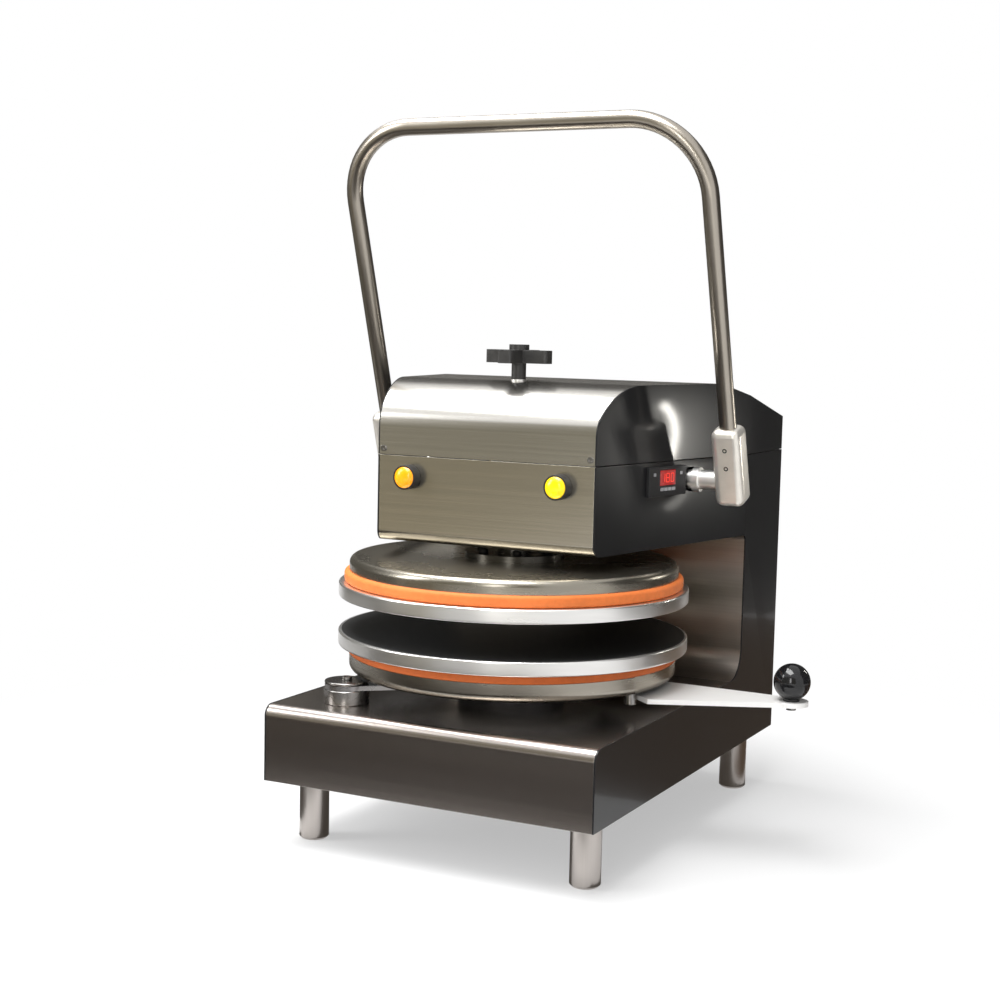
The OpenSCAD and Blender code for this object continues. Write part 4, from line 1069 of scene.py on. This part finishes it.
def make_world():
    """White surroundings that light the object at a lower level."""
    world = bpy.data.worlds.new("studio")
    world.use_nodes = True
    world.node_tree.nodes.clear()
    root = Value(world.node_tree)
    strength = seen_share(root) * (1 - WORLD_FILL) + WORLD_FILL
    sockets = {"Color": rgb(WHITE), "Strength": strength}
    light = root.node("ShaderNodeBackground", None, sockets)
    root.node("ShaderNodeOutputWorld", None, {"Surface": light})
    scene.world = world


def stage_piece(name, bm, material):
    """Makes a bmesh part of the studio."""
    mesh = bpy.data.meshes.new(name)
    bm.to_mesh(mesh)
    bm.free()
    mesh.materials.append(material)
    piece = bpy.data.objects.new(name, mesh)
    scene.collection.objects.link(piece)
    return piece


def floor_finish():
    """Pale floor that turns white away from the object and keeps the shadow near it."""
    material, coords = start_finish("pale_floor")
    x, y = coords.parts()[:2]
    reach = (x * x + y * y) ** 0.5
    fade = reach.step(FLOOR_FADE_START, FLOOR_FADE_END)
    white = (FLOOR_WHITE + fade * (1 - FLOOR_WHITE)) * seen_share(coords)
    pale = coords.node("ShaderNodeBsdfDiffuse", None, {"Color": rgb(FLOOR_GREY)})
    glow = coords.node("ShaderNodeEmission", None, {"Color": rgb(WHITE), "Strength": 1.0})
    mixed = coords.node("ShaderNodeMixShader", None, {0: white, 1: pale, 2: glow})
    coords.node("ShaderNodeOutputMaterial", None, {"Surface": mixed})
    return material


def make_floor():
    """Wide level floor under the legs."""
    bm = bmesh.new()
    bmesh.ops.create_grid(bm, x_segments=1, y_segments=1, size=FLOOR_HALF)
    stage_piece("floor", bm, floor_finish())


def reflected_piece(name, bm, colour, strength=1.0):
    """Glowing studio piece that shows in reflections alone and takes no light away."""
    material, coords = start_finish(name)
    sockets = {"Color": rgb(colour), "Strength": strength}
    glow = coords.node("ShaderNodeEmission", None, sockets)
    coords.node("ShaderNodeOutputMaterial", None, {"Surface": glow})
    piece = stage_piece(name, bm, material)
    piece.visible_camera = False
    piece.visible_diffuse = False
    piece.visible_transmission = False
    piece.visible_shadow = False


def card(name, centre, out, width, height, colour):
    """Flat studio card that the metal reflects."""
    bm = bmesh.new()
    bmesh.ops.create_grid(bm, x_segments=1, y_segments=1, size=1)
    turn = Vector(out).to_track_quat("Z", "Y").to_matrix().to_4x4()
    shape = Matrix.Translation(centre) @ turn @ Matrix.Diagonal((width / 2, height / 2, 1, 1))
    bmesh.ops.transform(bm, matrix=shape, verts=bm.verts)
    reflected_piece(name, bm, colour)


def curved_strip(name, centre, strength):
    """Thin curved strip light, reflected as a crescent in the right side panel."""
    bm = bmesh.new()
    inner = bm.verts.new((STRIP_R - STRIP_W / 2, 0, 0))
    outer = bm.verts.new((STRIP_R + STRIP_W / 2, 0, 0))
    bm.edges.new((inner, outer))
    turn = Matrix.Rotation(-STRIP_TURN / 2, 4, "Z")
    bmesh.ops.transform(bm, matrix=turn, verts=bm.verts)
    bmesh.ops.spin(
        bm, geom=bm.verts[:] + bm.edges[:], cent=(0, 0, 0), axis=UP, angle=STRIP_TURN,
        steps=BEND_STEPS,
    )
    upright = Matrix((STRIP_ALONG, UP, STRIP_ALONG.cross(UP))).transposed().to_4x4()
    bmesh.ops.transform(bm, matrix=Matrix.Translation(centre) @ upright, verts=bm.verts)
    reflected_piece(name, bm, STRIP_TINT, strength)


cabinet_sheets()
leg_pieces()
handle_bail()
clamp_block("left")
clamp_block("right")
set_screws()
platen_pieces()
swing_arm_pieces()
ram_pieces()
ball_handle()
control_pieces()
inner_pieces()

make_camera()
make_world()
make_floor()
for row in CARDS:
    card(*row)
for row in STRIPS:
    curved_strip(*row)
for row in SOFT_BOXES:
    soft_box(*row)
scene.view_settings.view_transform = "Standard"
